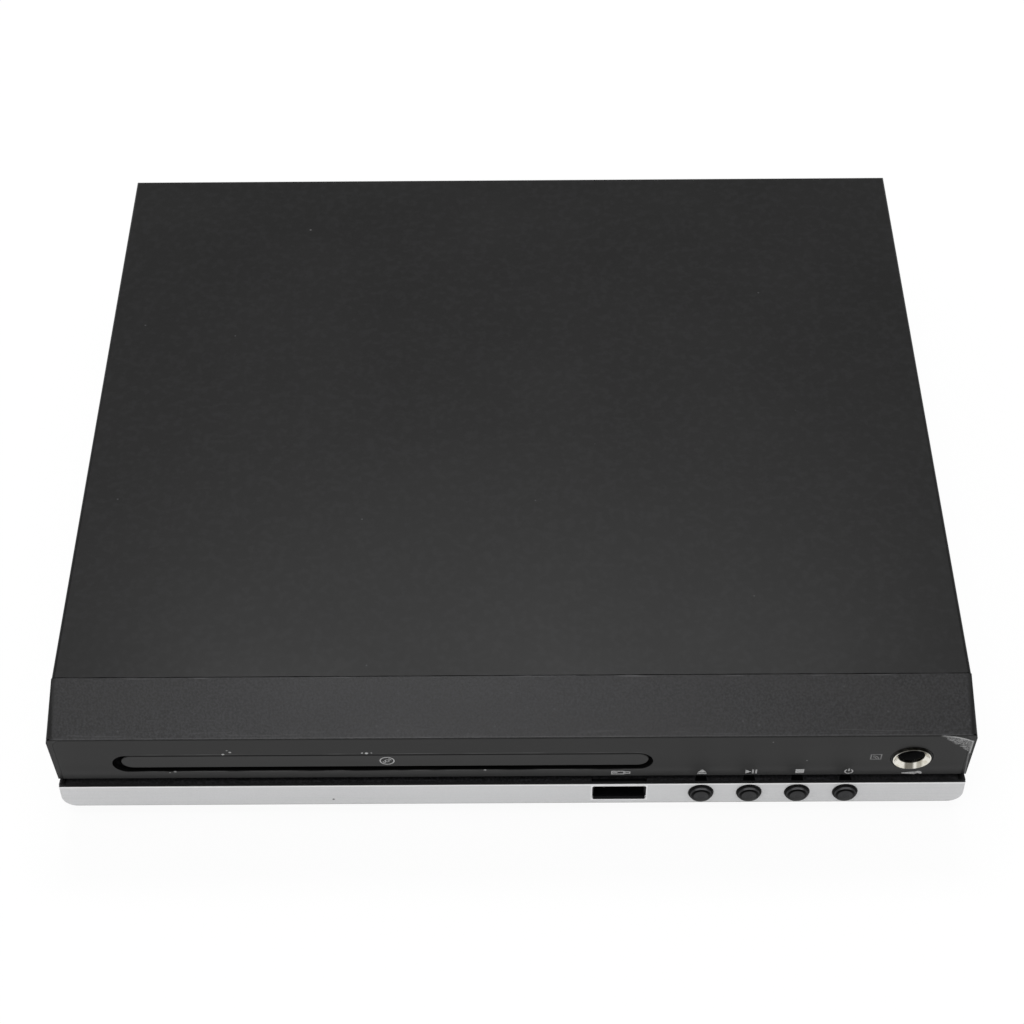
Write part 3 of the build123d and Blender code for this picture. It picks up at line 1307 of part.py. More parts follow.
with BuildPart() as rca_shells:
    for x, z in rca_spots:
        bar(x, z, panel_inside - 5.0, y_back, rca_collar_radius)
        bar(x, z, y_back - 1.0, y_back + jack_reach, rca_barrel_radius)
        bar(x, z, panel_inside - 6.0, y_back + jack_reach + 1, rca_barrel_radius - 0.6, Mode.SUBTRACT)
save(rca_shells, "rca_shells")

with BuildPart() as rca_inserts:
    for x, z in rca_spots:
        bar(x, z, panel_inside - 5.0, y_back + jack_reach - 0.7, rca_barrel_radius - 0.65)
        bar(x, z, panel_inside - 3.0, y_back + jack_reach, 1.65, Mode.SUBTRACT)
save(rca_inserts, "rca_inserts")

hdmi_rear = pan_back + 0.5
hdmi_depth = 11.5
hdmi_sheet = 0.4


def hdmi_outline(inset):
    """Corners of the video socket: a wide top with drawn-in lower corners."""
    half_width = hdmi_width / 2 - inset
    low_half = half_width - 2.2
    return [
        (-half_width, hdmi_height - inset),
        (half_width, hdmi_height - inset),
        (half_width, 2.0 + inset * 0.4),
        (low_half, inset),
        (-low_half, inset),
        (-half_width, 2.0 + inset * 0.4),
    ]


with BuildPart() as hdmi_shell:
    for inset, mode, reach in ((0.0, Mode.ADD, 0.0), (hdmi_sheet, Mode.SUBTRACT, 1.0)):
        with BuildSketch(Plane((hdmi_x, hdmi_rear + reach, board_z), x_dir=(1, 0, 0), z_dir=(0, -1, 0))):
            with BuildLine():
                Polyline(*hdmi_outline(inset), close=True)
            make_face()
        extrude(amount=hdmi_depth + reach - inset, mode=mode)
save(hdmi_shell, "hdmi_shell")

with BuildPart() as hdmi_tongue:
    hdmi_inner = hdmi_rear - 11.1
    block(hdmi_x - 5.0, hdmi_x + 5.0, hdmi_inner, hdmi_inner + 1.5,
          board_z + 0.5, board_z + hdmi_height - 0.45)
    block(hdmi_x - 4.6, hdmi_x + 4.6, hdmi_inner + 1.0, hdmi_rear - 1.5, board_z + 2.6, board_z + 3.6)
save(hdmi_tongue, "hdmi_tongue")

inlet_z = board_z + inlet_height / 2
with BuildPart() as power_inlet:
    block(inlet_x - inlet_width / 2, inlet_x + inlet_width / 2, pan_back + 0.4 - inlet_depth, pan_back + 0.4,
          board_z, board_z + inlet_height)
    with BuildSketch(wall(pan_back + 1)):
        with Locations((inlet_x - pin_spacing / 2, inlet_z), (inlet_x + pin_spacing / 2, inlet_z)):
            Circle(4.1)
        with Locations((inlet_x, inlet_z)):
            Rectangle(pin_spacing, 5.6)
    extrude(amount=inlet_cavity + 0.6, mode=Mode.SUBTRACT)
save(power_inlet, "power_inlet")

with BuildPart() as inlet_pins:
    for x in (inlet_x - pin_spacing / 2, inlet_x + pin_spacing / 2):
        bar(x, inlet_z, pan_back + 0.4 - inlet_cavity, pan_back - 0.6, 1.2)
save(inlet_pins, "inlet_pins")
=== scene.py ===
import math

import bmesh
import bpy
from mathutils import Matrix, Vector


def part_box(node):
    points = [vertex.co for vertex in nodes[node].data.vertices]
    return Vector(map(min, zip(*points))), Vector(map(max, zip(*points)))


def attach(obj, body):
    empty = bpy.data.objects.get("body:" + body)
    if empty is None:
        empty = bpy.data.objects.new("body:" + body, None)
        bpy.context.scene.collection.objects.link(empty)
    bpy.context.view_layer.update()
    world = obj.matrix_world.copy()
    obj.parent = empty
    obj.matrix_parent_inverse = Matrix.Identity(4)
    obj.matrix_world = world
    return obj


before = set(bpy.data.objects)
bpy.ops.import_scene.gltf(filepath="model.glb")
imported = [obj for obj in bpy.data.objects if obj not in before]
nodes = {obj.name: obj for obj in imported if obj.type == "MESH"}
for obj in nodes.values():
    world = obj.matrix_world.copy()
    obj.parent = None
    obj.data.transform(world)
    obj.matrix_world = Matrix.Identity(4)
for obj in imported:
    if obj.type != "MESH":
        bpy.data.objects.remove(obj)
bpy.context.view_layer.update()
MM = 0.001

# Base pan: one zinc-plated steel sheet, folded up at the sides and the back, with drawn standoffs.
# The plating shows faint crystals, rolling lines from left to right and dull patches from handling.


def joins(operation):
    """An operator between two values, which adds a Math node."""
    return lambda value, other: value.math(operation, value, other)


class Wire:
    """A value that runs between the nodes of one finish. Arithmetic on it adds Math nodes."""

    def __init__(self, finish, socket):
        self.finish = finish
        self.socket = socket

    def math(self, operation, *values):
        return self.finish.add("Math", {"operation": operation}, dict(enumerate(values)))

    __add__ = __radd__ = joins("ADD")
    __mul__ = __rmul__ = joins("MULTIPLY")
    __sub__ = joins("SUBTRACT")
    __truediv__ = joins("DIVIDE")
    __pow__ = joins("POWER")
    __gt__ = joins("GREATER_THAN")
    __lt__ = joins("LESS_THAN")
    most = joins("MAXIMUM")

    def __rsub__(self, other):
        return self.math("SUBTRACT", other, self)

    def one(self, operation):
        """A Math node with one value, such as ABSOLUTE, FLOOR or FRACT."""
        return self.math(operation, self)

    def off(self, place):
        """How far the value is from a place, either way."""
        return (self - place).one("ABSOLUTE")

    def rise(self, start, width):
        """0 below start, 1 above start + width, smooth between."""
        return self.finish.add("MapRange", {"interpolation_type": "SMOOTHSTEP"},
                               {"Value": self, "From Min": start, "From Max": start + width})

    def fall(self, start, width):
        """1 below start, 0 above start + width, smooth between."""
        return 1 - self.rise(start, width)

    def band(self, low, high, soft):
        """1 between low and high, fading outside over soft."""
        return self.rise(low - soft, soft) * self.fall(high, soft)


class Finish:
    """The look of one surface, written as expressions on its place in millimetres."""

    def __init__(self, name, colour, rough, metallic=0.0, sheen=0.5, **fixed):
        self.material = bpy.data.materials.new(name)
        self.material.use_nodes = True
        self.tree = self.material.node_tree
        self.shader = self.tree.nodes["Principled BSDF"]
        self.base, self.rough, self.height, self.bump = (*colour, 1.0), rough, None, None
        self.feed("Base Color", self.base)
        self.feed("Roughness", rough)
        self.feed("Metallic", metallic)
        self.feed("Specular IOR Level", sheen)
        for socket, value in fixed.items():
            self.feed(socket.replace("_", " "), value)
        metres = self.add("TexCoord", out="Object")
        self.place = self.vector("MULTIPLY", metres, (1 / MM, 1 / MM, 1 / MM))
        self.x, self.y, self.z = self.add("SeparateXYZ", {}, {0: self.place}, (0, 1, 2))

    def feed(self, socket, value):
        self.join(value, self.shader.inputs[socket])

    def join(self, value, socket):
        if isinstance(value, Wire):
            self.tree.links.new(value.socket, socket)
        elif isinstance(value, tuple) and socket.type == "RGBA":
            socket.default_value = (*value[:3], 1.0)
        else:
            socket.default_value = value

    def add(self, kind, settings=None, sockets=None, out=0):
        """A node of any type: its settings, then its sockets, then the outputs that are wanted."""
        node = self.tree.nodes.new("ShaderNode" + kind)
        for name, value in (settings or {}).items():
            setattr(node, name, value)
        for name, value in (sockets or {}).items():
            self.join(value, node.inputs[name])
        if isinstance(out, tuple):
            return [Wire(self, node.outputs[i]) for i in out]
        return Wire(self, node.outputs[out])

    def vector(self, operation, *values, out=0):
        """A Vector Math node."""
        return self.add("VectorMath", {"operation": operation}, dict(enumerate(values)), out)

    def scaled(self, size, stretch=(1, 1, 1), shift=0.0, place=None):
        """The place counted in sizes, longer along an axis by its stretch."""
        scale = tuple(1 / size / s for s in stretch)
        apart = (shift, shift * 0.7, shift * 1.3)
        return self.vector("MULTIPLY_ADD", place or self.place, scale, apart)

    def noise(self, size, detail=2.0, stretch=(1, 1, 1), shift=0.0, place=None):
        """Smooth chance variation from 0 to 1 about as wide as size."""
        where = self.scaled(size, stretch, shift, place)
        return self.add("TexNoise", {}, {"Vector": where, "Scale": 1.0, "Detail": detail})

    def cells(self, size):
        """Crystals or specks: the distance from each one's middle, and a chance value for each."""
        where = self.scaled(size)
        distance, colour = self.add("TexVoronoi", {}, {"Vector": where, "Scale": 1.0}, (0, 1))
        chance = self.add("SeparateXYZ", {}, {0: colour})
        return distance, chance

    def specks(self, colour, strength, size, share, radius=0.25):
        """Lay a colour on small spots, one in a share of the cells, which are as wide as size."""
        distance, chance = self.cells(size)
        self.paint(colour, distance.fall(radius * 0.5, radius * 0.5) * (chance < share) * strength)

    def paint(self, colour, mask):
        """Lay a colour over what is there, where the mask is 1."""
        self.base = self.add("Mix", {"data_type": "RGBA"}, {0: mask, 6: self.base, 7: colour}, 2)
        self.feed("Base Color", self.base)

    def roughen(self, amount):
        self.rough = amount + self.rough
        self.feed("Roughness", self.rough)

    def emboss(self, height):
        """Raise the surface by a height."""
        self.height = height if self.height is None else self.height + height
        if self.bump is None:
            self.bump = self.add("Bump", {}, {"Distance": MM})
            self.feed("Normal", self.bump)
        self.join(self.height, self.bump.socket.node.inputs["Height"])

    def axle(self, centre, axis):
        """Distance from an axle through centre, and the way along it."""
        offset = self.vector("SUBTRACT", self.place, tuple(centre))
        across = self.vector("CROSS_PRODUCT", offset, tuple(axis))
        along = self.vector("DOT_PRODUCT", offset, tuple(axis), out=1)
        return self.vector("LENGTH", across, out=1), along

    def turned(self, centre, axis, pitch, depth, gloss=0.12):
        """Fine rings that a lathe, a press or a grinding wheel leaves round an axle."""
        radius, along = self.axle(centre, axis)
        ring_place = self.add("CombineXYZ", {}, {0: radius, 1: along, 2: 0.0})
        rings = self.noise(pitch, 1.0, place=ring_place)
        self.emboss(rings * depth)
        self.roughen((rings - 0.5) * gloss)
        return radius, along

    def mottle(self, colour, size, detail, depth, share=0.6, gloss=0.2, width=0.3):
        """One chance pattern that colours the surface, dulls it and raises it."""
        pattern = self.noise(size, detail)
        self.paint(colour, pattern.rise(0.45, width) * share)
        self.roughen(pattern * gloss)
        self.emboss(pattern * depth)
        return self

    def dress(self, *names):
        """Put the finish on CAD nodes or pieces."""
        for name in names:
            target = nodes[name] if isinstance(name, str) else name
            if target.material_slots:
                target.material_slots[0].material = self.material
            else:
                target.data.materials.append(self.material)


def shade(red, green=None, blue=None):
    """Screen levels from 0 to 255 turned into a linear colour."""
    levels = (red, red if green is None else green, red if blue is None else blue)
    return tuple(v / 3294.6 if v <= 10 else ((v / 255 + 0.055) / 1.055) ** 2.4 for v in levels)


def rolled_steel(name, colour, dull, rolling=(40, 1, 1), crystal=4):
    """Plated sheet: crystals in the zinc, rolling lines, dull patches and a few dark pits."""
    sheet = Finish(name, colour, 0.3, 1.0)
    crystals = sheet.cells(crystal)[1]
    lines = sheet.noise(0.25, 2.0, rolling)
    patches = sheet.noise(22, 3.0, shift=4.0)
    sheet.paint(dull, crystals * 0.35)
    sheet.paint(tuple(c * 0.62 for c in dull), patches.rise(0.52, 0.3) * 0.5)
    sheet.specks(shade(70, 64, 56), 0.6, 2.6, 0.06)
    sheet.roughen(crystals * 0.1 + lines * 0.12 + patches * 0.14)
    sheet.emboss(lines * 0.0015 + crystals * 0.001 + patches * 0.02)
    return sheet


rolled_steel("zinc_plate", shade(180, 182, 181), shade(146, 150, 152)).dress("base_pan")

# Rubber feet: four moulded black discs, screwed up through their recesses into the pan.
# The rubber is dull, slightly chalky, and paler and polished where it meets the table.


def rubber(name, colour, bloom, grain=0.5):
    """Moulded rubber: a dull pebbled skin with a chalky bloom and dust in its low places."""
    skin = Finish(name, colour, 0.72, sheen=0.3)
    pebble = skin.noise(grain, 3.0)
    clouds = skin.noise(7, 3.0, shift=2.0)
    skin.paint(bloom, clouds.rise(0.42, 0.35) * 0.5)
    skin.specks(shade(120, 116, 108), 0.35, 1.6, 0.05)
    skin.roughen((clouds - 0.5) * 0.3 + (pebble - 0.5) * 0.15)
    skin.emboss(pebble * 0.012)
    return skin


feet = rubber("foot_rubber", shade(32, 32, 33), shade(52, 52, 51))
feet.paint(shade(78, 76, 72), feet.z.fall(0.2, 0.6) * 0.6)
feet.dress("rubber_feet")

# Chassis screws and deck screws: small pan heads with a cross slot, in bright zinc.
# Plating leaves them slightly mottled, and the driver has rubbed the slots.


def screw_plating(name, colour, shadow):
    """Bright plating on a small screw, with dull spots and burrs."""
    plating = Finish(name, colour, 0.24, 1.0)
    dull = plating.noise(0.9, 3.0)
    plating.paint(shadow, dull.rise(0.48, 0.3) * 0.7)
    plating.specks(shade(60, 56, 52), 0.6, 0.8, 0.12)
    plating.roughen(dull * 0.24)
    plating.emboss(plating.noise(0.18, 2.0) * 0.003)
    return plating


screw_plating("bright_zinc", shade(206, 208, 210), shade(166, 170, 176)).dress(
    "chassis_screws", "damper_screws")

# Loader frame: a moulded black channel that guides the tray on two rails.
# Its skin has a fine spark texture, swirls where the plastic flowed, and rubbed rail tops.


def moulding(name, colour, rough, grain=0.45, depth=0.004, sheen=0.5, tone=0.35):
    """Moulded plastic: spark texture, cloudy flow marks, and a little dust."""
    plastic = Finish(name, colour, rough, sheen=sheen)
    texture = plastic.noise(grain, 2.0)
    flow = plastic.noise(16, 4.0, (2.2, 1, 1), 5.0)
    plastic.paint(tuple(min(c * (1 + tone) + 0.002, 1.0) for c in colour), flow.rise(0.45, 0.3) * 0.7)
    plastic.paint(tuple(c * (1 - tone * 0.6) for c in colour), texture.fall(0.32, 0.2) * 0.6)
    plastic.roughen((flow - 0.5) * 0.16 + (texture - 0.5) * 0.1)
    plastic.emboss(texture * depth + flow * 0.01)
    return plastic


loader = moulding("loader_moulding", shade(38, 39, 41), 0.5, depth=0.006)
loader.specks(shade(86, 87, 88), 0.4, 1.8, 0.04)
loader.dress("loader_frame")

# Tray gear train: acetal gears and pulleys on posts, a square rubber belt and a small steel motor.
# The acetal is milky and waxy, with grease in the teeth, and the motor's can has drawing rings.


def acetal(name, colour, shadow):
    """Milky gear plastic with a waxy skin and grease that has picked up dust."""
    stock = Finish(name, colour, 0.38, sheen=0.55)
    cloud = stock.noise(3, 3.0)
    stock.paint(shadow, cloud.rise(0.4, 0.4) * 0.6)
    stock.paint(shade(122, 112, 92), stock.noise(1.2, 4.0, shift=3.0).rise(0.6, 0.12) * 0.35)
    stock.roughen((cloud - 0.5) * 0.24)
    stock.emboss(stock.noise(0.12) * 0.0015 + cloud * 0.004)
    return stock


acetal("white_acetal", shade(226, 224, 214), shade(204, 200, 186)).dress(
    "drive_gear", "pulley_gear", "motor_pulley", "sled_gear", "sled_pinion", "pickup_rack")
acetal("ivory_acetal", shade(214, 206, 184), shade(190, 180, 152)).dress("cam_slider")
rubber("belt_rubber", shade(24, 24, 25), shade(40), 0.2).dress("drive_belt")


def corners(node):
    """The low and the high corner of a CAD node's box, in millimetres."""
    return [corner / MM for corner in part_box(node)]


def middle(node):
    """The middle of a CAD node's box, in millimetres."""
    low, high = corners(node)
    return (low + high) / 2


def motor_can(node, axis, colour=(0.66, 0.66, 0.64)):
    """Deep-drawn steel can, plated, with rings from the draw and a darker foot."""
    can = Finish(node + "_can", colour, 0.26, 1.0)
    can.turned(middle(node), axis, 0.14, 0.002)
    stain = can.noise(6, 4.0)
    can.paint(tuple(c * 0.66 for c in colour), stain.rise(0.48, 0.3) * 0.6)
    can.specks(shade(86, 74, 58), 0.5, 2.2, 0.08)
    can.roughen(stain * 0.14)
    can.dress(node)


deck_tilt = math.radians(3.0)
deck_up = (0.0, -math.sin(deck_tilt), math.cos(deck_tilt))
motor_can("loading_motor", (0, 0, 1))
motor_can("spindle_motor", deck_up)
motor_can("sled_motor", deck_up)
motor_can("clamp_magnet", (0, 0, 1), (0.52, 0.52, 0.53))

# Lifting deck: a moulded ring frame that carries a plated steel chassis on four rubber dampers.
# The chassis has a yellow chromate tint, and the dampers are soft and dull.
moulding("deck_moulding", shade(44, 45, 47), 0.46, depth=0.005).dress("lift_frame")
across_rolled = (1, 40, 1)
rolled_steel("chromate_plate", shade(206, 198, 168), shade(184, 168, 128), across_rolled, 2.5).dress(
    "traverse_plate")
rolled_steel("bridge_plate", shade(176, 178, 176), shade(144, 148, 150), across_rolled, 3).dress(
    "clamper_bridge")
rubber("damper_rubber", shade(44, 43, 42), shade(64, 62, 60), 0.3).dress("damper_grommets")

# Turntable: a turned black plastic platter with a thin rubber mat under the disc.
# The mat is matt with a ring worn shiny, and the hub has rings from its mould.
platter = moulding("platter_moulding", shade(30, 30, 32), 0.34, 0.2, 0.002)
platter.turned(middle("turntable"), deck_up, 0.3, 0.004)
platter.dress("turntable")
mat = rubber("mat_rubber", shade(26, 26, 27), shade(44, 44, 43), 0.25)
mat_radius = mat.axle(middle("turntable_mat"), deck_up)[0]
mat.roughen(mat_radius.band(11.2, 12.6, 0.6) * -0.25)
mat.dress("turntable_mat")
clamper = moulding("clamper_moulding", shade(222, 221, 214), 0.42, 0.4, 0.004, tone=-0.12)
clamper.turned(middle("clamper"), (0, 0, 1), 0.5, 0.004)
clamper.dress("clamper")

# Pickup: a zinc casting that slides on two ground steel rods, with a coated plastic lens on top.
# The casting is grey and sandy, the rods bright with a film of oil, the lens violet from its coating.
casting = Finish("pickup_casting", shade(150, 152, 156), 0.46, 0.85)
sand = casting.noise(0.35, 3.0)
chill = casting.noise(5, 3.0, shift=6.0)
casting.paint(shade(104, 106, 110), chill.rise(0.42, 0.3) * 0.7)
casting.specks(shade(66, 66, 68), 0.6, 1.1, 0.14)
casting.roughen((sand - 0.5) * 0.2)
casting.emboss(sand * 0.014)
casting.dress("pickup_body")

rod = Finish("ground_rod", shade(214, 214, 212), 0.16, 1.0)
oil = rod.noise(4, 3.0)
grinding = rod.noise(0.06, 1.0, (1, 1, 30))
rod.paint(shade(176, 168, 146), oil.rise(0.5, 0.25) * 0.5)
rod.roughen(oil * 0.12 + grinding * 0.08)
rod.emboss(grinding * 0.0008)
rod.dress("guide_rods")

lens_centre = middle("objective_lens")
lens = Finish("coated_lens", shade(24, 24, 27), 0.32, Coat_Weight=1.0, Coat_Roughness=0.03)
glass_radius = lens.axle(lens_centre, deck_up)[0]
coating = lens.noise(1.4, 2.0)
glass = glass_radius.fall(2.45, 0.15)
lens.paint(shade(76, 58, 128), glass * 0.9)
lens.paint(shade(52, 92, 138), glass * coating.rise(0.4, 0.3) * 0.7)
lens.roughen(glass * -0.28 + coating * 0.04)
lens.emboss(glass_radius.rise(2.5, 0.2) * 0.03)
lens.dress("objective_lens")

# Circuit boards: a green glass main board, and tan paper boards for the front and the power supply.
# Under the lacquer run copper tracks, round pads are tinned, and the weave shows as a fine bump.


def laminate(name, lacquer, track, weave, pitch):
    """Board with lacquered tracks that run one way or the other in patches, and tinned pads."""
    board = Finish(name, lacquer, 0.36)
    across, along = board.x / pitch, board.y / pitch
    patch_place = board.add("CombineXYZ", {},
                            {0: (across / 9).one("FLOOR"), 1: (along / 7).one("FLOOR"), 2: 0.0})
    patch = board.add("TexWhiteNoise", {"noise_dimensions": "3D"}, {"Vector": patch_place})
    lines = [way.one("FRACT").off(0.5) < 0.2 for way in (across, along)]
    tracks = lines[0] * (patch < 0.4) + lines[1] * (patch > 0.62)
    pad_place = board.scaled(2.54)
    pad_distance, pad_chance = board.add(
        "TexVoronoi", {}, {"Vector": pad_place, "Scale": 1.0, "Randomness": 0.0}, (0, 1))
    chance = board.add("SeparateXYZ", {}, {0: pad_chance})
    pads = (pad_distance < 0.27) * (chance > 0.84)
    cloth = board.noise(0.35, 1.0)
    board.paint(tuple(c * 1.25 for c in lacquer), cloth * 0.5)
    board.paint(track, tracks * 0.8)
    board.paint(shade(196, 196, 190), pads)
    board.feed("Metallic", pads * 0.9)
    board.roughen(cloth * 0.12 + pads * -0.1)
    board.emboss(tracks * 0.03 + pads * 0.06 + cloth * weave)
    return board


laminate("main_laminate", shade(22, 70, 42), shade(46, 112, 66), 0.004, 0.8).dress("main_board")
laminate("paper_laminate", shade(150, 108, 62), shade(170, 126, 74), 0.006, 1.3).dress(
    "front_board", "power_board")

# Decoder chip and the small parts round it: black epoxy packages with tinned legs, and chip
# resistors and capacitors in rows. The packages are moulded, and the rest is soldered flat.


def brick(mesh, low, high, edge=0.0):
    """Add a block between two corners, in millimetres, with its edges softened by edge."""
    made = bmesh.ops.create_cube(mesh, size=1.0)["verts"]
    size = Vector(high) - Vector(low)
    centre = (Vector(high) + Vector(low)) / 2
    for v in made:
        v.co = Vector((v.co.x * size.x, v.co.y * size.y, v.co.z * size.z)) + centre
    if edge:
        edges = list({e for v in made for e in v.link_edges})
        bmesh.ops.bevel(mesh, geom=edges, offset=edge, segments=2, affect="EDGES", profile=0.6)


def barrel(mesh, centre, axis, radius, length, sides=20):
    """Add a round bar, in millimetres, from centre along axis."""
    turn = Vector((0, 0, 1)).rotation_difference(Vector(axis)).to_matrix().to_4x4()
    place = Matrix.Translation(Vector(centre)) @ turn @ Matrix.Translation((0, 0, length / 2))
    bmesh.ops.create_cone(mesh, cap_ends=True, segments=sides, radius1=radius, radius2=radius,
                          depth=length, matrix=place)


def mesh_object(name, mesh):
    """Put a mesh into the scene as an object."""
    data = bpy.data.meshes.new(name)
    mesh.to_mesh(data)
    mesh.free()
    made = bpy.data.objects.new(name, data)
    bpy.context.scene.collection.objects.link(made)
    return made


def piece(name, mesh, finish, body="root"):
    """Turn a mesh in millimetres into a piece of the player, in metres, that rides on a body."""
    bmesh.ops.scale(mesh, vec=(MM, MM, MM), verts=mesh.verts)
    bmesh.ops.recalc_face_normals(mesh, faces=mesh.faces)
    made = mesh_object(name, mesh)
    finish.dress(made)
    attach(made, body)


board_top = corners("main_board")[1].z
chip_low, chip_high = corners("decoder_chip")
epoxy = Finish("moulded_epoxy", shade(34, 34, 36), 0.5, sheen=0.45)
filler = epoxy.noise(0.12, 2.0)
epoxy.paint(shade(52, 52, 54), filler.rise(0.5, 0.2) * 0.5)
dimple_place = (chip_low.x + 3.2, chip_high.y - 3.2, 0)
dimple = epoxy.axle(dimple_place, (0, 0, 1))[0].fall(0.7, 0.15)
epoxy.roughen((filler - 0.5) * 0.2 + dimple * -0.15)
epoxy.emboss(filler * 0.004 + dimple * -0.1)
epoxy.dress("decoder_chip")

tinned = Finish("tinned_leads", shade(204, 204, 200), 0.3, 1.0).mottle(
    shade(160, 160, 158), 0.4, 3.0, 0.008, 0.7, 0.24)

chip_middle = (chip_low + chip_high) / 2
legs_a_side, leg_pitch, leg_half, leg_top = 26, 0.72, 0.13, board_top + 0.22
leg_start, leg_end = 10.9, 12.3
legs = bmesh.new()
for step in range(legs_a_side):
    along = (step - (legs_a_side - 1) / 2) * leg_pitch
    for side in (-1, 1):
        near, far = sorted((leg_start * side, leg_end * side))
        brick(legs, (chip_middle.x + near, chip_middle.y + along - leg_half, board_top),
              (chip_middle.x + far, chip_middle.y + along + leg_half, leg_top), 0.05)
        brick(legs, (chip_middle.x + along - leg_half, chip_middle.y + near, board_top),
              (chip_middle.x + along + leg_half, chip_middle.y + far, leg_top), 0.05)
piece("decoder_legs", legs, tinned)

# Each small package: its middle, then half its width and half its depth.
small_spots = ((46.5, 62.0, 3.0, 2.0), (76.0, 24.0, 2.0, 3.6), (48.0, 17.0, 2.6, 4.4),
               (62.0, 68.5, 4.4, 2.6), (75.5, 66.0, 2.4, 2.4))
small_pitch = 1.27
packages, package_legs = bmesh.new(), bmesh.new()
for x, y, half_x, half_y in small_spots:
    brick(packages, (x - half_x, y - half_y, board_top + 0.1),
          (x + half_x, y + half_y, board_top + 1.5), 0.12)
    for step in range(int(half_y * 2 / small_pitch)):
        leg_y = y - half_y + 0.7 + step * small_pitch
        for side in (-1, 1):
            near, far = sorted((x + side * half_x, x + side * (half_x + 1.0)))
            brick(package_legs, (near, leg_y - 0.2, board_top),
                  (far, leg_y + 0.2, board_top + 0.25), 0.05)
piece("small_packages", packages, epoxy)
piece("package_legs", package_legs, tinned)

chip_ceramic = Finish("chip_ceramic", shade(168, 146, 112), 0.4)
fired = chip_ceramic.noise(1.2, 2.0)
chip_ceramic.paint(shade(44, 42, 42), fired.rise(0.48, 0.06))
chip_ceramic.roughen(fired * 0.15)
chip_ceramic.emboss(chip_ceramic.noise(0.15) * 0.004)
# Each row: its first part, how many there are, and their pitch. Every other row runs to the right.
chip_rows = ((46.0, 26.0, 6, 1.9), (53.0, 28.5, 9, 2.1), (77.5, 34.0, 8, 2.0), (52.0, 59.5, 8, 2.3),
             (44.0, 70.0, 5, 2.2), (66.0, 20.0, 5, 2.0), (70.0, 74.0, 6, 2.2))
chips, chip_ends = bmesh.new(), bmesh.new()
for row, (x, y, count, step) in enumerate(chip_rows):
    for index in range(count):
        u, v = (x + index * step, y) if row % 2 else (x, y + index * step)
        brick(chips, (u - 0.45, v - 0.62, board_top), (u + 0.45, v + 0.62, board_top + 0.5), 0.06)
        for end in (-0.75, 0.75):
            brick(chip_ends, (u - 0.47, v + end - 0.2, board_top),
                  (u + 0.47, v + end + 0.2, board_top + 0.52), 0.06)
piece("chip_parts", chips, chip_ceramic)
piece("chip_part_ends", chip_ends, tinned)

# In a mesh that has both, the round bars come before the softened blocks: a bevel leaves
# what follows it in an order that changes from run to run.
crystal_can, can_caps = bmesh.new(), bmesh.new()
for x, y in ((45.5, 34.5), (79.0, 14.0), (58.5, 76.0), (51.0, 76.0)):
    barrel(crystal_can, (x, y, board_top + 0.3), (0, 0, 1), 2.1, 5.0)
    brick(can_caps, (x - 2.3, y - 2.3, board_top), (x + 2.3, y + 2.3, board_top + 0.8), 0.4)
brick(crystal_can, (44.0, 46.0, board_top + 0.2), (48.4, 56.6, board_top + 3.4), 1.2)
piece("board_cans", crystal_can, tinned)
piece("can_feet", can_caps, epoxy)

# Ribbon and its sockets: twelve flat conductors in white film, blue stiffeners at both ends,
# pushed into ivory nylon sockets on the front board and the main board.
ribbon_low, ribbon_high = corners("front_ribbon")
ribbon = Finish("ribbon_film", shade(226, 228, 228), 0.34)
wires = ribbon.x.one("FRACT").off(0.5).fall(0.26, 0.08)
ribbon.paint(shade(186, 182, 172), wires * 0.7)
stiffener = 7
front_end = ribbon.y.fall(ribbon_low.y + stiffener, 0.1)
rear_end = ribbon.y.rise(ribbon_high.y - stiffener, 0.1)
ribbon.paint(shade(42, 92, 168), front_end + rear_end)
ribbon.roughen(ribbon.noise(2) * 0.14)
ribbon.emboss(wires * 0.05)
ribbon.dress("front_ribbon")
moulding("socket_nylon", shade(222, 214, 192), 0.44, 0.3, 0.003, tone=-0.1).dress("ribbon_sockets")

# Power supply: a tape-wrapped transformer with a ferrite core, three sleeved capacitors and a
# folded aluminium heat sink. Round them stand a fuse, a varistor, diodes and a power transistor.
core_low, core_high = corners("transformer")
core_middle = middle("transformer")
tape = Finish("winding_tape", shade(214, 178, 44), 0.3)
overlap = (tape.z / 2.6).one("FRACT").rise(0.9, 0.08)
core = tape.x.off(core_middle.x).rise(6.02, 0.05)
core_face = tape.y.off(core_middle.y).fall(5.05, 0.05)
cap = tape.z.rise(core_high.z - 1.98, 0.04)
ferrite = tape.noise(0.5, 3.0)
tape.paint(shade(176, 140, 30), overlap * 0.7 + tape.noise(4).rise(0.5, 0.3) * 0.4)
tape.paint(shade(58, 57, 60), core.most(cap) * core_face)
tape.paint(shade(40, 38, 36), tape.z.fall(core_low.z + 2.58, 0.04))
tape.roughen(core * 0.35 + ferrite * 0.12)
tape.emboss(overlap * 0.05 + ferrite * core * 0.02)
tape.dress("transformer")

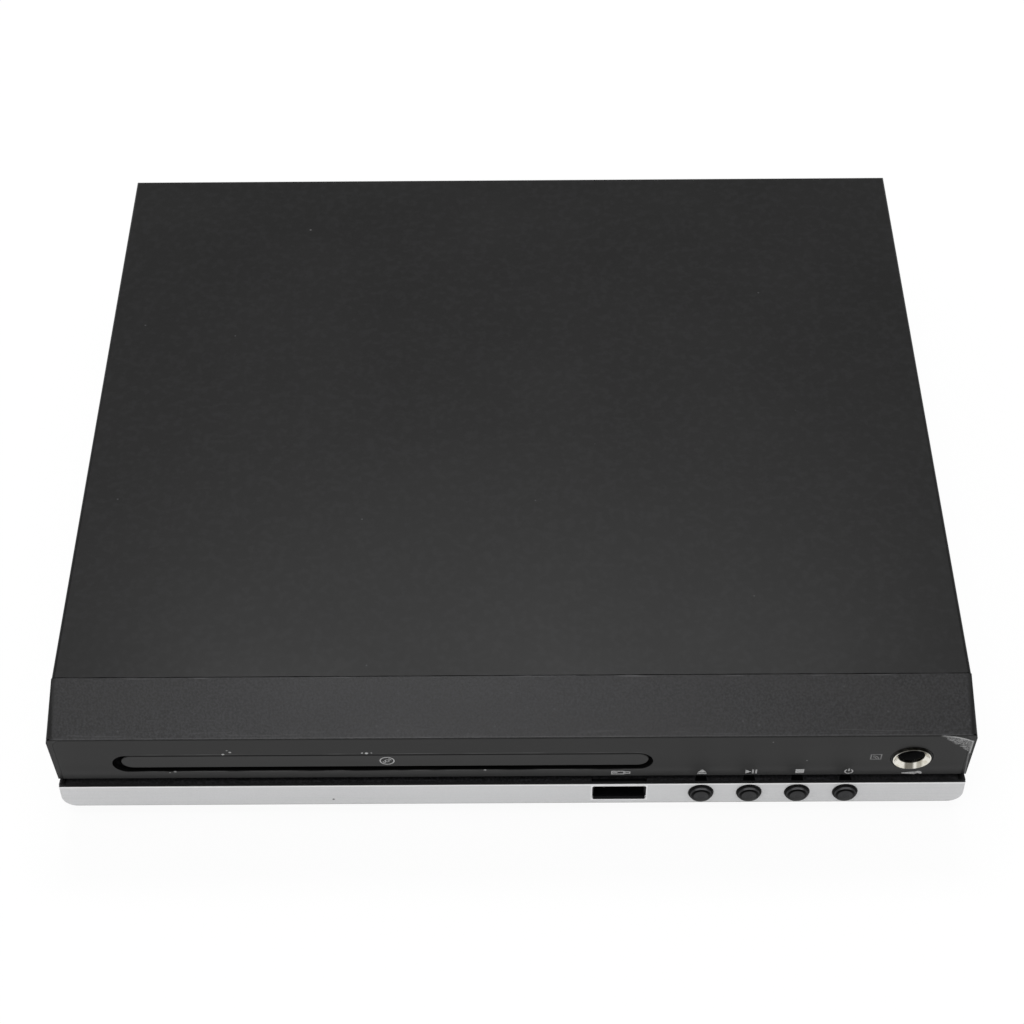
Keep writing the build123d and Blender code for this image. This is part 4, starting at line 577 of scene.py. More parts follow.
capacitor_low, capacitor_high = corners("filter_capacitors")
big_half = 6.3
big_x = capacitor_low.x + big_half
big_y = capacitor_high.y - big_half
sleeve = Finish("sleeve_film", shade(30, 42, 84), 0.22, Coat_Weight=0.4, Coat_Roughness=0.1)
stripe = sleeve.y.off(big_y - 5.9).fall(1.3, 0.1)
sleeve.paint(shade(196, 198, 204), stripe * (sleeve.z < capacitor_high.z - 1.2))
big_radius = sleeve.axle((big_x, big_y, 0), (0, 0, 1))[0]
tops = sleeve.z.rise(capacitor_high.z - 0.12, 0.04) * big_radius.fall(5.2, 0.1)
short_top = capacitor_low.z + 12
short_tops = sleeve.z.band(short_top - 0.05, short_top + 0.05, 0.02) * big_radius.rise(7, 1)
lids = tops + short_tops
score = sleeve.x.off(big_x).fall(0.15, 0.1)
sleeve.paint(shade(198, 198, 196), lids)
sleeve.paint(shade(110), score * tops)
sleeve.feed("Metallic", lids * 0.9)
sleeve.roughen(sleeve.noise(3) * 0.2)
sleeve.emboss(score * tops * -0.15 + sleeve.noise(5, 1.0) * 0.05)
sleeve.dress("filter_capacitors")

sink = Finish("sink_aluminium", shade(188, 190, 192), 0.36, 1.0)
drawing = sink.noise(0.16, 2.0, (1, 1, 60))
sink.paint(shade(150, 152, 156), sink.noise(8, 3.0).rise(0.45, 0.3) * 0.6)
sink.roughen(drawing * 0.16)
sink.emboss(drawing * 0.002)
sink.dress("heat_sink")

fuse_x, fuse_z = 90.6, board_top + 3.4
diode_first, diode_pitch, diode_z = 4.0, 3.6, board_top + 1.5
glass_parts, brass_ends, dark_parts, disc_parts = (bmesh.new() for _ in range(4))
barrel(glass_parts, (fuse_x, 66.0, fuse_z), (0, 1, 0), 1.9, 11.0)
fuse_ends = (64.0, 76.0)
for y in fuse_ends:
    barrel(brass_ends, (fuse_x, y, fuse_z), (0, 1, 0), 2.3, 3.2)
for index in range(4):
    y = diode_first + index * diode_pitch
    barrel(dark_parts, (89.6, y, diode_z), (1, 0, 0), 1.2, 3.6)
    for lead_x in (87.9, 93.2):
        barrel(brass_ends, (lead_x, y, diode_z), (1, 0, 0), 0.35, 1.7, 10)
for y in fuse_ends:
    brick(brass_ends, (fuse_x - 0.7, y + 0.9, board_top),
          (fuse_x + 0.7, y + 2.1, board_top + 1.6), 0.2)
brick(dark_parts, (92.7, 44.0, board_top + 4.0), (95.0, 54.0, board_top + 14.0), 0.3)
barrel(disc_parts, (101.5, 66.5, board_top + 6.6), (0, 1, 0), 5.0, 3.2, 32)
brick(disc_parts, (97.6, 72.5, board_top + 0.2), (105.6, 79.0, board_top + 9.0), 0.8)
fuse_glass = Finish("fuse_glass", shade(206, 210, 208), 0.08, sheen=0.6)
fuse_glass.paint(shade(150, 148, 138), fuse_glass.noise(2).rise(0.5, 0.2) * 0.5)
fuse_glass.roughen(fuse_glass.noise(1) * 0.08)
piece("fuse_tube", glass_parts, fuse_glass)
piece("clips_and_leads", brass_ends, tinned)
piece("diodes_and_transistor", dark_parts, epoxy)
lacquered_ceramic = Finish("lacquered_ceramic", shade(176, 110, 40), 0.34, Coat_Weight=0.3)
lacquered_ceramic.mottle(shade(140, 80, 28), 2.4, 2.0, 0.12, gloss=0.16)
piece("varistor_and_filter", disc_parts, lacquered_ceramic)

# Rear sockets: a black block with four plated barrels and coloured inserts, a digital video
# socket, and a two-pin mains inlet. All stand on the boards and look out through the rear panel.
moulding("black_socket", shade(30, 30, 31), 0.42, 0.25, 0.003).dress(
    "rca_block", "hdmi_tongue", "power_inlet", "mic_jack_body", "key_switches")


def nickel(name, colour=(0.6, 0.59, 0.56), tarnish=shade(138, 132, 118)):
    """Nickel plate: bright, with polishing lines, fingerprints and a few pin holes."""
    plate = Finish(name, colour, 0.16, 1.0)
    film = plate.noise(3.5, 3.0)
    plate.paint(tarnish, film.rise(0.48, 0.3) * 0.6)
    plate.specks(shade(80, 74, 64), 0.5, 1.2, 0.05)
    plate.roughen(film * 0.16)
    plate.emboss(plate.noise(0.12, 1.0) * 0.0008)
    return plate


barrel_nickel = nickel("barrel_nickel")
barrel_nickel.emboss(barrel_nickel.noise(0.08, 1.0, (30, 1, 30)) * 0.0008)
barrel_nickel.dress("rca_shells")
nickel("shell_nickel").dress("hdmi_shell")

inserts = Finish("insert_plastic", shade(222, 186, 30), 0.36)
insert_middle = middle("rca_inserts")
right_side = inserts.x.rise(insert_middle.x, 0.1)
upper_row = inserts.z.rise(insert_middle.z, 0.1)
inserts.paint(shade(226, 226, 222), (1 - right_side) * upper_row)
inserts.paint(shade(186, 28, 26), right_side * upper_row)
inserts.paint(shade(206, 96, 24), right_side * (1 - upper_row))
clouding = inserts.noise(2, 3.0)
inserts.paint(shade(70, 62, 50), clouding.rise(0.6, 0.1) * 0.2)
inserts.roughen((clouding - 0.5) * 0.2)
inserts.emboss(inserts.noise(0.2) * 0.003)
inserts.dress("rca_inserts")

nickel("pin_plate", (0.74, 0.66, 0.48), shade(150, 126, 84)).dress("inlet_pins")

# Contacts of the video socket: two rows of gold strips on the tongue, pressed and plated.
# The memory socket at the front has four of its own, in the section on the front parts.
contact_gold = Finish("contact_gold", shade(226, 186, 102), 0.24, 1.0).mottle(
    shade(190, 150, 80), 0.8, 2.0, 0.002, gloss=0.16)
tongue_back = corners("hdmi_tongue")[1].y
contact_count, contact_pitch = 19, 0.45
video_contacts = bmesh.new()
for index in range(contact_count):
    x = middle("hdmi_tongue").x + (index - contact_count // 2) * contact_pitch
    face_z = board_top + (3.6 if index % 2 else 2.55)
    brick(video_contacts, (x - 0.13, tongue_back - 6.0, face_z),
          (x + 0.13, tongue_back - 0.4, face_z + 0.05))
piece("video_contacts", video_contacts, contact_gold)

# Rear panel printing: thin black frames round the groups of sockets, screen printed on the zinc.
# The frames are all that is printed there.
panel_back = corners("base_pan")[1].y
panel_ink = Finish("panel_ink", shade(28, 28, 29), 0.5)
panel_ink.paint(shade(60), panel_ink.noise(0.5, 3.0).rise(0.5, 0.2) * 0.5)
panel_ink.roughen(panel_ink.noise(0.4) * 0.2)
panel_ink.emboss(panel_ink.noise(0.2) * 0.003)


def frame_line(mesh, x0, x1, z0, z1, width=0.45, proud=0.03):
    """Add a rectangular printed frame on the rear panel."""
    for low_x, high_x, low_z, high_z in ((x0, x1, z0, z0 + width), (x0, x1, z1 - width, z1),
                                         (x0, x0 + width, z0 + width, z1 - width),
                                         (x1 - width, x1, z0 + width, z1 - width)):
        brick(mesh, (low_x, panel_back - 0.01, low_z), (high_x, panel_back + proud, high_z))


# Round the phono sockets, the video socket and the mains inlet: left, right, bottom and top.
rear_print = bmesh.new()
for edges in ((57.4, 84.2, 9.6, 34.4), (39.4, 56.2, 9.6, 18.2), (87.2, 109.4, 8.6, 25.0)):
    frame_line(rear_print, *edges)
piece("rear_frames", rear_print, panel_ink)

# Front board parts: a memory socket with four gold strips, its shell and tongue black as painted
# shade inside the opening, a remote sensor of dark resin, and the microphone socket's bright turned
# ring in the face.
# Painted shade: the shell and the tongue are made near black, like the shade deep in the opening.
shade_dark_shell = Finish("shade_black_shell", shade(16, 16, 17), 0.32, 0.6, sheen=0.2)
shade_dark_shell.mottle(shade(30, 30, 32), 0.9, 3.0, 0.003, 0.5).dress("usb_shell")
moulding("tongue_black", shade(14, 14, 15), 0.44, 0.3, 0.002, 0.2).dress("usb_tongue")
tongue_front = corners("usb_tongue")[0].y
contacts = bmesh.new()
for offset in (-3.5, -1.0, 1.0, 3.5):
    x = middle("usb_tongue").x + offset
    brick(contacts, (x - 0.5, tongue_front + 3.0, 9.1), (x + 0.5, tongue_front + 8.0, 9.2), 0.03)
piece("memory_contacts", contacts, contact_gold)

sensor_resin = Finish("sensor_resin", shade(34, 22, 38), 0.12, Coat_Weight=0.5)
sensor_resin.mottle(shade(52, 32, 54), 1.5, 2.0, 0.01).dress("ir_sensor")

rake = math.radians(7.5)
face_top = Vector((0, -105.953, 33.0))
face_down = Vector((0, math.sin(rake), -math.cos(rake)))
face_out = Vector((0, -math.cos(rake), -math.sin(rake)))


def on_face(across, down, out=0.0):
    """A point of the raked face: to the right, down from its top edge, and proud of it."""
    return face_top + Vector((across, 0, 0)) + face_down * down + face_out * out


mic_across, mic_down = 97.9, 11.0
mic_centre = on_face(mic_across, mic_down)
ring = Finish("ring_metal", shade(228, 225, 216), 0.2, 1.0)
ring.turned(mic_centre, face_out, 0.1, 0.0012, 0.18)
wear = ring.noise(1.6, 3.0)
ring_across = ring.x - mic_centre.x
ring_down = mic_centre.z - ring.z
ring.paint(shade(182, 174, 152), wear.rise(0.45, 0.3) * 0.6)
# Painted reflections: a dark band through the middle and a duller band right of it.
ring.paint(shade(84, 80, 70), ring_across.band(-1.0, 0.5, 0.7) * 0.85)
ring.paint(shade(112, 106, 88), ring_across.band(1.9, 2.5, 0.6) * 0.6)
# Painted shade over the ring's top.
ring.paint(shade(60, 58, 52), ring_down.fall(-3.4, 1.6) * 0.85)
ring.specks(shade(96, 88, 70), 0.5, 0.9, 0.1)
ring.roughen(wear * 0.12)
ring.dress("mic_jack_ring")

# Front bezel: a hollow black moulding with a sloping top, a shadow groove and a ledge for the strip.
# Its spark texture is coarser than the cover's paint, and its top right corner is scuffed grey.


def corner_scuff(finish):
    """Grey scratches at the front's top right corner: a speckled wedge with a bright upper rim."""
    across = finish.x
    down = (face_top.z - finish.z) / math.cos(rake)
    ragged = finish.noise(1.1, 3.0, shift=14.0) - 0.5
    top = (across - 103.5) ** 2 * 0.04 + 0.5
    depth = (across - 103.7) * 1.02 + ragged * 2.2 + 0.5
    ends = across.rise(103.4, 1.0) * across.fall(111.8, 0.15)
    inside = (down - top).rise(-0.1, 0.3) * (depth - down).rise(0.0, 0.6) * ends
    grain = finish.noise(0.4, 3.0, shift=11.0).rise(0.3, 0.4)
    rim = down.off(top).fall(0.16, 0.2) * ends
    edge = across.band(111.55, 111.8, 0.12) * down.band(3.0, 8.7, 0.4) * 0.8
    tail_line = (down - 8.7) * 0.055 + 111.5
    tail = across.off(tail_line).fall(0.1, 0.15) * down.band(9.0, 18.8, 0.8) * 0.3
    return (inside * grain * 0.72).most(rim.most(edge + tail)), down


bezel = Finish("bezel_moulding", shade(14, 14, 15), 0.4, sheen=0.2)
spark = bezel.noise(0.55, 2.0)
coarse = bezel.noise(2.6, 2.0, shift=8.0)
bezel_clouds = bezel.noise(26, 3.0, (2.5, 1, 1), 3.0)
bezel.paint(shade(46, 46, 48), spark.rise(0.3, 0.42) * 0.9)
bezel.paint(shade(40, 39, 39), bezel_clouds.rise(0.45, 0.3) * 0.5)
bezel.specks(shade(80, 80, 82), 0.3, 1.3, 0.02, 0.3)
bezel_high = corners("front_bezel")[1]
slope_back = corners("top_cover")[0].y
behind_lip = bezel.y - face_top.y
above_lip = bezel.z - face_top.z
# Painted highlights: short pale streaks along the slope's front and back edges.
lip_glint_streaks = bezel.noise(0.4, 2.0, (30, 1, 1), 4.0).rise(0.56, 0.1)
front_lip = behind_lip.band(0.25, 1.35, 0.3) * above_lip.rise(0.1, 0.3)
back_lip = bezel.y.rise(slope_back - 0.65, 0.15) * bezel.z.rise(bezel_high.z - 0.8, 0.2)
bezel.paint(shade(96, 96, 98), lip_glint_streaks * (front_lip * 0.14 + back_lip * 0.4))
# Painted shade: both ends of the bezel are painted near black.
shaded_ends = bezel.x.one("ABSOLUTE").rise(bezel_high.x - 2.2, 0.9)
bezel.paint(shade(1), shaded_ends * 0.85)
# Painted highlight: a pale line along the foot of the slope, over the face's top edge.
foot_highlight = behind_lip.band(-0.15, 0.2, 0.1) * above_lip.rise(0.0, 0.06)
bezel.paint(shade(120, 120, 122), foot_highlight * (lip_glint_streaks * 0.1 + 0.1))
bezel_scuff, bezel_down = corner_scuff(bezel)
lip_shadow = bezel_down.band(0.06, 0.6, 0.05) * (behind_lip < 0.45)
bezel.paint(shade(1), lip_shadow)
bezel.feed("Metallic", lip_shadow)
bezel.paint(shade(164), bezel_scuff * (behind_lip < 3.15))
bezel.roughen((spark - 0.5) * 0.2 + (bezel_clouds - 0.5) * 0.12 + bezel_scuff * 0.3)
bezel.emboss(spark * 0.03 + coarse * 0.016)
bezel.dress("front_bezel")

# Face panel: a separate black moulding let into the bezel's front, smoother than the bezel, with a
# thin collar round the microphone socket. The bezel's scuff runs over its top right corner, and the
# edge of the slot has a few pale nicks.


def smooth_black(name, level, sheen, cloud_size, cloud_shift, line_shift):
    """Smooth black moulding: clouds and hair lines that run across, and very few specks."""
    face = Finish(name, shade(level), 0.3, sheen=sheen)
    clouds = face.noise(cloud_size, 3.0, (3, 1, 1), cloud_shift)
    hairs = face.noise(0.3, 2.0, (14, 1, 1), line_shift)
    face.paint(shade(22), clouds.rise(0.42, 0.35) * 0.7)
    face.paint(shade(32), hairs.rise(0.62, 0.1) * 0.35)
    face.specks(shade(84, 84, 86), 0.4, 2.6, 0.012, 0.18)
    face.roughen((clouds - 0.5) * 0.1 + hairs * 0.05)
    face.emboss(hairs * 0.0008 + clouds * 0.02)
    return face


panel = smooth_black("panel_moulding", 10, 0.145, 18, 0.0, 9.0)
scuff_all, down_face = corner_scuff(panel)
panel.paint(shade(168), scuff_all)
skin = panel.axle(face_top, face_out)[1].rise(-0.25, 0.1)
mic_radius = panel.axle(mic_centre, face_out)[0]
gap_shadow = mic_radius.fall(4.98, 0.06) * 0.9 + down_face.fall(0.62, 0.1) * skin
panel.paint(shade(1), gap_shadow)
panel.feed("Metallic", gap_shadow)
# Painted light: the face is painted paler towards its lower edge.
panel.paint(shade(56), down_face.rise(13.6, 5.6) * skin * 0.85)
slot_top, slot_bottom = 7.55, 15.85
slot_width = panel.x.off(middle("disc_tray").x).fall(62, 2)
# Painted highlights: pale patches along the slot's lower and upper edges.
edge_glint_patches = panel.noise(3, 3.0, (3, 1, 1), 17.0).rise(0.35, 0.3) * slot_width * skin
lower_edge_glint = down_face.off(slot_bottom).fall(0.1, 0.16)
upper_edge_glint = down_face.off(slot_top).fall(0.06, 0.14)
panel.paint(shade(110), lower_edge_glint * edge_glint_patches * 0.6)
panel.paint(shade(84), upper_edge_glint * edge_glint_patches * 0.5)
ragged = (panel.noise(0.35, 2.0) - 0.5) * 0.5
# Each nick: its place across and down the face, its size, and how pale it is.
nicks = ((-70.3, 7.5, 0.26, 0.8), (-68.5, 6.5, 0.22, 0.7), (-69.2, 5.6, 0.12, 0.4),
         (-83.0, 15.9, 0.26, 0.6), (-84.3, 16.4, 0.1, 0.4), (-35.3, 7.3, 0.3, 0.9),
         (-36.4, 7.2, 0.16, 0.7), (-34.1, 7.2, 0.14, 0.6), (-6.6, 15.8, 0.28, 0.9),
         (72.4, 12.1, 0.1, 0.3), (63.3, 3.0, 0.1, 0.3))
for across, down, size, share in nicks:
    radius = panel.axle(on_face(across, down), face_out)[0]
    nick = (radius + ragged).fall(size, 0.16) * skin
    panel.paint(shade(184), nick * share)
panel.roughen(scuff_all * 0.4)
panel.emboss(scuff_all * 0.02)
panel.dress("face_panel")

collar_inner, collar_outer, collar_depth, collar_sides = 4.72, 5.1, 0.9, 64
angles = [2 * math.pi * i / collar_sides for i in range(collar_sides)]
collar = bmesh.new()
collar_rings = []
for radius, out in ((collar_inner, -collar_depth), (collar_inner, 0.0),
                    (collar_outer, 0.0), (collar_outer, -collar_depth)):
    places = [(mic_across + radius * math.cos(a), mic_down + radius * math.sin(a)) for a in angles]
    collar_rings.append([collar.verts.new(on_face(across, down, out)) for across, down in places])
for inner, outer in zip(collar_rings, collar_rings[1:] + collar_rings[:1]):
    for i in range(collar_sides):
        j = (i + 1) % collar_sides
        collar.faces.new((inner[i], inner[j], outer[j], outer[i]))
piece("mic_collar", collar, panel)

# Face printing: small grey pictograms pad-printed over the keys, the memory socket, the sensor and
# the microphone socket. Each is a film of ink, a little uneven at its edges.
ink_film = 0.02


def stamp(mesh, outline, out=0.0):
    """Add a film of ink on the face, from the corners of its outline in across and down."""
    rings = [[mesh.verts.new(on_face(u, t, out + lift)) for u, t in outline]
             for lift in (0.0, ink_film)]
    mesh.faces.new(rings[0])
    mesh.faces.new(rings[1])
    for i in range(len(outline)):
        j = (i + 1) % len(outline)
        mesh.faces.new((rings[0][i], rings[0][j], rings[1][j], rings[1][i]))


def bar_mark(mesh, u, t, width, height):
    """A filled rectangle round its middle, u across and t down."""
    stamp(mesh, [(u - width / 2, t - height / 2), (u + width / 2, t - height / 2),
                 (u + width / 2, t + height / 2), (u - width / 2, t + height / 2)])


def arc_mark(mesh, u, t, inner, outer, start, end, out=0.0):
    """Part of a ring, from one angle to another in degrees, clockwise from the top."""
    steps = max(3, int(abs(end - start) / 9))
    turns = [math.radians(start + (end - start) * i / steps) for i in range(steps + 1)]
    rim = [(u + outer * math.sin(a), t - outer * math.cos(a)) for a in turns]
    core_rim = [(u + inner * math.sin(a), t - inner * math.cos(a)) for a in reversed(turns)]
    stamp(mesh, rim + core_rim, out)


def box_mark(mesh, u, t, width, height, line):
    """A rectangular outline made of four strokes."""
    bar_mark(mesh, u, t - (height - line) / 2, width, line)
    bar_mark(mesh, u, t + (height - line) / 2, width, line)
    for side in (-1, 1):
        bar_mark(mesh, u + side * (width - line) / 2, t, line, height - 2 * line)


print_ink = Finish("print_ink", shade(176), 0.46)
print_ink.mottle(shade(116), 0.3, 3.0, 0.004, 0.7, width=0.2)

# Eject: a triangle over a bar. Play and pause: a triangle and two bars. Stop: a square. Power: a
# broken ring and a bar.
key_marks = bmesh.new()
stamp(key_marks, [(47.0, 16.25), (48.15, 17.7), (45.85, 17.7)])
bar_mark(key_marks, 47.0, 18.25, 2.3, 0.45)
stamp(key_marks, [(57.7, 16.5), (59.1, 17.45), (57.7, 18.4)])
bar_mark(key_marks, 59.55, 17.45, 0.42, 1.9)
bar_mark(key_marks, 60.35, 17.45, 0.42, 1.9)
bar_mark(key_marks, 71.1, 17.35, 2.1, 1.9)
arc_mark(key_marks, 83.22, 17.6, 0.78, 1.12, 32, 328)
bar_mark(key_marks, 83.22, 16.85, 0.36, 1.3)
piece("key_marks", key_marks, print_ink)

# A memory stick with its plug, and a hand microphone that lies on its side.
socket_marks = bmesh.new()
box_mark(socket_marks, 26.2, 17.6, 3.3, 1.7, 0.34)
box_mark(socket_marks, 28.55, 17.6, 1.5, 1.1, 0.3)
bar_mark(socket_marks, 25.6, 17.6, 1.1, 0.4)
stamp(socket_marks, [(96.3, 18.35), (99.7, 17.85), (99.7, 19.15), (96.3, 18.75)])
arc_mark(socket_marks, 100.35, 18.5, 0.0, 0.95, -130, 130)
piece("socket_marks", socket_marks, print_ink)

faint_ink = Finish("faint_ink", shade(112), 0.5)
faint_ink.mottle(shade(66), 0.4, 3.0, 0.004, 0.7, width=0.2)
# The sensor's window: a square outline with two waves in it.
sensor_mark = bmesh.new()
box_mark(sensor_mark, 89.1, 10.4, 2.8, 2.6, 0.3)
arc_mark(sensor_mark, 88.3, 11.3, 0.75, 1.0, 0, 90)
arc_mark(sensor_mark, 88.3, 11.3, 1.3, 1.55, 0, 90)
piece("sensor_mark", sensor_mark, faint_ink)

# Silver strip: an injection-moulded bar clipped to the ledge, painted with fine metal flake.
# Its rounded upper edge carries a painted highlight, and the foot a painted shade.
silver = Finish("silver_flake", shade(209, 209, 210), 0.46, 0.25, sheen=0.4)
flake = silver.cells(0.22)[1]
drift = silver.noise(30, 3.0, (3, 1, 1))
streaks = silver.noise(0.5, 2.0, (60, 1, 1), 2.0)
strip_low, strip_high = corners("trim_strip")
silver.paint(shade(196, 197, 198), flake * 0.35 + streaks.rise(0.45, 0.3) * 0.25)
silver.paint(shade(214, 215, 216), drift.rise(0.45, 0.3) * 0.4)
# Painted shade along the foot, and a painted highlight along the rounded upper edge.
silver.paint(shade(150, 148, 144), silver.z.fall(strip_low.z + 0.15, 0.5) * 0.6)
silver.paint(shade(238), silver.z.rise(strip_high.z - 0.5, 0.25) * 0.8)
cutout_middle, cutout_half_width, cutout_half_height = middle("usb_shell"), 6.7, 2.675
cutout_across = silver.x.off(cutout_middle.x) - cutout_half_width
cutout_up = silver.z.off(cutout_middle.z) - cutout_half_height
# Painted highlight: a pale rim round the memory socket's opening.
cutout_highlight = cutout_across.most(cutout_up).fall(0.25, 0.15)
silver.paint(shade(236), cutout_highlight * 0.8)
# Painted shade: the strip's upward faces are painted dark, in the shade of the groove above.
normal = silver.add("NewGeometry", out="Normal")
top_in_shade = silver.add("SeparateXYZ", {}, {0: normal}, 2)
silver.paint(shade(24, 24, 25), top_in_shade.rise(0.72, 0.15))
silver.specks(shade(92, 90, 86), 0.6, 3.4, 0.012, 0.1)
chip_place = (-44.5, 0, 6.96)
paint_chip = silver.axle(chip_place, (0, 1, 0))[0].fall(0.22, 0.16)
silver.paint(shade(44), paint_chip * 0.85)
silver.roughen((flake - 0.5) * 0.14 + drift * 0.06)
silver.emboss(flake * 0.001 + streaks * 0.003)
silver.dress("trim_strip")

# Keys: four moulded black caps, each with a stepped shoulder and a shallow dome, on a spring tab.
# The domes are satin, polished at the middle by fingers, with painted light and shade on each cap.


def key_cap(node):
    """Satin black plastic, mould rings, a polished middle; painted highlights on top, painted shade
    in the groove and below.
    """
    satin = Finish(node + "_satin", shade(14, 14, 15), 0.34, sheen=0.06)
    centre = middle(node)
    radius = satin.turned(centre, (0, 1, 0), 0.25, 0.002, 0.08)[0]
    height = satin.z - centre.z
    smear = satin.noise(1.4, 3.0)
    satin.paint(shade(28, 28, 29), smear.rise(0.45, 0.3) * 0.6)
    # Painted light: the upper middle of the dome is painted lighter.
    satin.paint(shade(60, 60, 61), radius.fall(1.75, 0.2) * height.rise(-1.8, 2.2) * 0.9)
    # Painted highlight on the shoulder's edge, strongest at the top.
    shoulder_highlight = radius.band(2.48, 2.62, 0.06)
    satin.paint(shade(100, 100, 102), shoulder_highlight * (height.rise(1.9, 0.6) * 0.7 + 0.3))
    # Painted shade in the groove round the dome and on the outer rim's top.
    groove = radius.band(1.9, 2.35, 0.1) * height.rise(-0.8, 1.2) * 0.8
    rim_shadow = radius.rise(2.68, 0.1) * height.rise(0.2, 1.2) * 0.4
    step_shadow = groove + rim_shadow
    satin.paint(shade(1), step_shadow)
    # Painted shade over the lower side of the cap.
    satin.paint(shade(4), height.fall(-2.7, 2.1) * 0.8)
    satin.feed("Metallic", step_shadow)
    satin.roughen(radius.fall(0.4, 1.6) * -0.08 + (smear - 0.5) * 0.1)
    satin.dress(node)


for key in ("eject_button", "play_button", "stop_button", "power_button"):
    key_cap(key)

# Disc tray: a moulded black drawer with recesses for a large and a small disc.
# Discs have left fine curved scratches in the recess, and the arms are rubbed along the rails.
tray = moulding("tray_moulding", shade(34, 34, 36), 0.44, 0.5, 0.007)
tray_high = corners("disc_tray")[1]
disc_radius = tray.axle(middle("clamper"), (0, 0, 1))[0]
ring_marks = tray.add("CombineXYZ", {}, {0: disc_radius, 1: tray.x * 0.02, 2: 0.0})
scratches = tray.noise(0.35, 2.0, place=ring_marks).rise(0.66, 0.06)
rubbed = tray.noise(9, 3.0, shift=3.0).rise(0.45, 0.2)
floor_only = tray.z.fall(tray_high.z - 0.4, 0.2)
tray.paint(shade(78, 78, 80), scratches * rubbed * floor_only * 0.5)
tray.specks(shade(70, 70, 72), 0.4, 2.5, 0.04)
side_rub = tray.x.off(middle("disc_tray").x).rise(62.6, 0.8)
tray.paint(shade(66, 66, 68), side_rub * rubbed * 0.5)
tray.roughen(scratches * 0.08 + side_rub * -0.1)
tray.dress("disc_tray")

# Tray door: a pill-shaped black cover clipped to the tray's front, set a hair behind the face.
# A small ring of ink, a plain sign for a disc, stands a little left of its middle.
smooth_black("door_moulding", 14, 0.18, 15, 6.0, 4.0).dress("tray_door")
sign_across, sign_down, door_sink = -30.5, 11.4, -0.2
disc_mark = bmesh.new()
for inner, outer, start, end in ((1.55, 1.85, 0, 180), (0.4, 0.62, 0, 180),
                                 (1.55, 1.85, 180, 360), (0.4, 0.62, 180, 360),
                                 (0.95, 1.2, 20, 70), (0.95, 1.2, 200, 250)):
    arc_mark(disc_mark, sign_across, sign_down, inner, outer, start, end, door_sink)
piece("disc_mark", disc_mark, print_ink, "tray")

# Top cover: one sheet of steel folded down at the sides, with a rear lip, in matt black powder coat.
# The coat is finely pebbled, a little cloudy and smoother along the folds; the folds carry painted
# shade and the cut edge painted light.
cover = Finish("powder_coat", shade(8), 0.34, sheen=0.1)
pebble = cover.noise(0.32, 2.0)
orange_peel = cover.noise(1.9, 2.0, shift=5.0)
cover_clouds = cover.noise(45, 3.0, shift=7.0)
cover.paint(shade(13), cover_clouds.rise(0.42, 0.35) * 0.6)
cover.paint(shade(22), pebble.rise(0.55, 0.2) * 0.4)
cover.paint(shade(24, 24, 25), orange_peel.rise(0.42, 0.3) * 0.5)
cover.specks(shade(80, 80, 82), 0.5, 3.2, 0.01, 0.1)
speck_place = (-58.4, 75.0, 0)
speck = cover.axle(speck_place, (0, 0, 1))[0].fall(0.2, 0.2)
cover.paint(shade(96), speck * 0.6)
cover_low, cover_high = corners("top_cover")
fold_width = 0.8
near_top = cover_high.z - fold_width
fold = cover.x.one("ABSOLUTE").rise(cover_high.x - fold_width, 0.5) * cover.z.rise(near_top, 0.5)
rear_fold = cover.y.rise(cover_high.y - fold_width, 0.5) * cover.z.rise(near_top, 0.5)
# Painted shade: the side and rear folds are painted near black.
cover.paint(shade(2), fold.most(rear_fold) * 0.8)
# Painted light on the front cut edge, which lies in the seam's shade.
cut_edge_light = cover.y.fall(cover_low.y + 0.01, 0.02) * cover.z.rise(near_top, 0.2)
cover.paint(shade(66), cut_edge_light * cover.noise(9, 3.0, shift=19.0).rise(0.35, 0.3))
cover.roughen((cover_clouds - 0.5) * 0.12 + (pebble - 0.5) * 0.1 + fold * -0.1)
cover.emboss(pebble * 0.0035 + orange_peel * 0.006 + cover_clouds * 0.05)
cover.dress("top_cover")

# Cover screws: two each side and three at the back, with bright nickel heads and a cross slot.
screw_plating("cover_nickel", shade(190, 190, 188), shade(150)).dress("cover_screws")

# Camera: in front and well above, with a long lens, at the place that the photo's corners give.
camera_data = bpy.data.cameras.new("photo_camera")
camera_data.sensor_width = 36.0
camera_data.lens = 80.251
camera_data.clip_start, camera_data.clip_end = 0.02, 50.0
photo_camera = bpy.data.objects.new("photo_camera", camera_data)
bpy.context.scene.collection.objects.link(photo_camera)
pitch, yaw, roll = (math.radians(a) for a in (47.047, -0.3275, -0.5805))
ahead = Vector((math.sin(yaw) * math.cos(pitch), math.cos(yaw) * math.cos(pitch), -math.sin(pitch)))
level_right = Vector((math.cos(yaw), -math.sin(yaw), 0))
level_up = level_right.cross(ahead)
right = math.cos(roll) * level_right + math.sin(roll) * level_up
up = math.cos(roll) * level_up - math.sin(roll) * level_right
camera_place = Vector((2.641, -440.747, 472.325)) * MM
camera_turn = Matrix((right, up, -ahead)).transposed().to_4x4()
photo_camera.matrix_world = Matrix.Translation(camera_place) @ camera_turn
bpy.context.scene.camera = photo_camera
bpy.context.scene.view_settings.view_transform = "Standard"

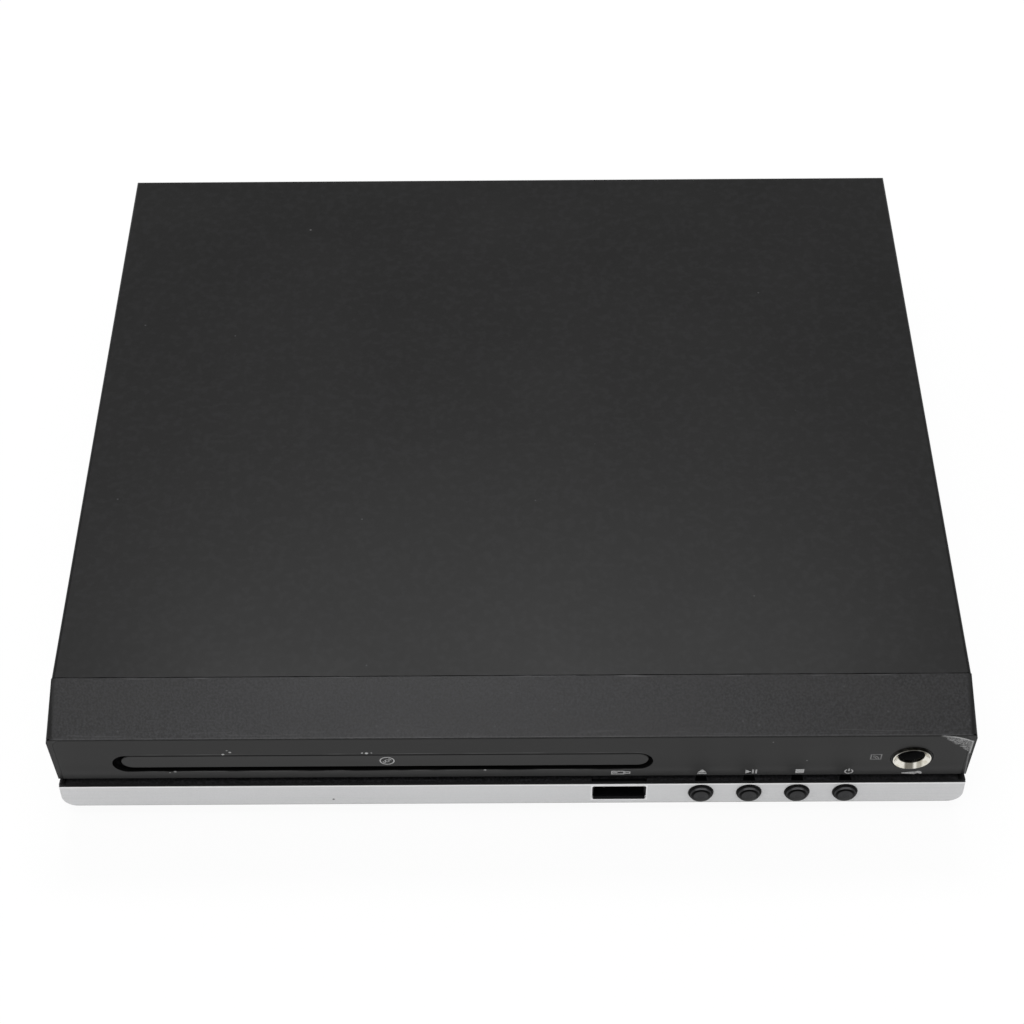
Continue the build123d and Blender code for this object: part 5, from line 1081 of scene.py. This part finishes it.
# Table and surroundings: a white table and a white room, seen as plain white by the camera, by
# mirrors and through glass. The table still takes the player's shadow.
white_table = Finish("white_table", (0.95, 0.95, 0.95), 0.6)
table_tooth = white_table.noise(3, 3.0)
white_table.paint((0.92, 0.92, 0.92), table_tooth * 0.3)
plain_rays = ("Is Camera Ray", "Is Glossy Ray", "Is Transmission Ray")
camera_ray, mirror_ray, glass_ray = white_table.add("LightPath", out=plain_rays)
seen = (camera_ray + mirror_ray + glass_ray) * 0.94
plain_white = white_table.add("Emission", {}, {"Color": (1.0, 1.0, 1.0), "Strength": 1.0})
shaded_white = Wire(white_table, white_table.shader.outputs[0])
mixed = white_table.add("MixShader", {}, {0: seen, 1: shaded_white, 2: plain_white})
white_table.tree.links.new(mixed.socket, white_table.tree.nodes["Material Output"].inputs[0])
table_mesh = bmesh.new()
bmesh.ops.create_grid(table_mesh, x_segments=4, y_segments=4, size=1.6)
table = mesh_object("table", table_mesh)
white_table.dress(table)


class Room(Finish):
    """The light of the white room, written with the same expressions."""

    def __init__(self, name):
        world = bpy.data.worlds.new(name)
        world.use_nodes = True
        bpy.context.scene.world = world
        self.tree = world.node_tree
        self.shader = self.tree.nodes["Background"]


white_room = Room("white_room")
camera_ray, mirror_ray, glass_ray = white_room.add("LightPath", out=plain_rays)
ambient = 0.55
white_room.feed("Color", (1.0, 1.0, 1.0))
white_room.feed("Strength", camera_ray.most(mirror_ray).most(glass_ray) * (1 - ambient) + ambient)

# Studio lamps: a broad soft box behind the player, which the front of its cover reflects, a strip
# over the camera for the slope and the keys, and a weak box to the left.


def soft_box(name, place, target, size, power):
    """A square lamp that faces its target."""
    lamp = bpy.data.lights.new(name, "AREA")
    lamp.shape = "RECTANGLE"
    lamp.size, lamp.size_y = size
    lamp.energy = power
    holder = bpy.data.objects.new(name, lamp)
    bpy.context.scene.collection.objects.link(holder)
    aim = Vector(target) - Vector(place)
    turn = aim.to_track_quat("-Z", "Y").to_matrix().to_4x4()
    holder.matrix_world = Matrix.Translation(Vector(place)) @ turn


soft_box("back_box", (-0.02, 0.66, 1.2), (0, -0.02, 0.03), (0.7, 0.3), 8.6)
soft_box("front_strip", (-0.08, -0.5, 1.3), (0, -0.08, 0.03), (0.3, 0.3), 3.9)
soft_box("left_box", (-1.1, -0.9, 0.9), (0, 0, 0.02), (0.6, 0.6), 2.0)
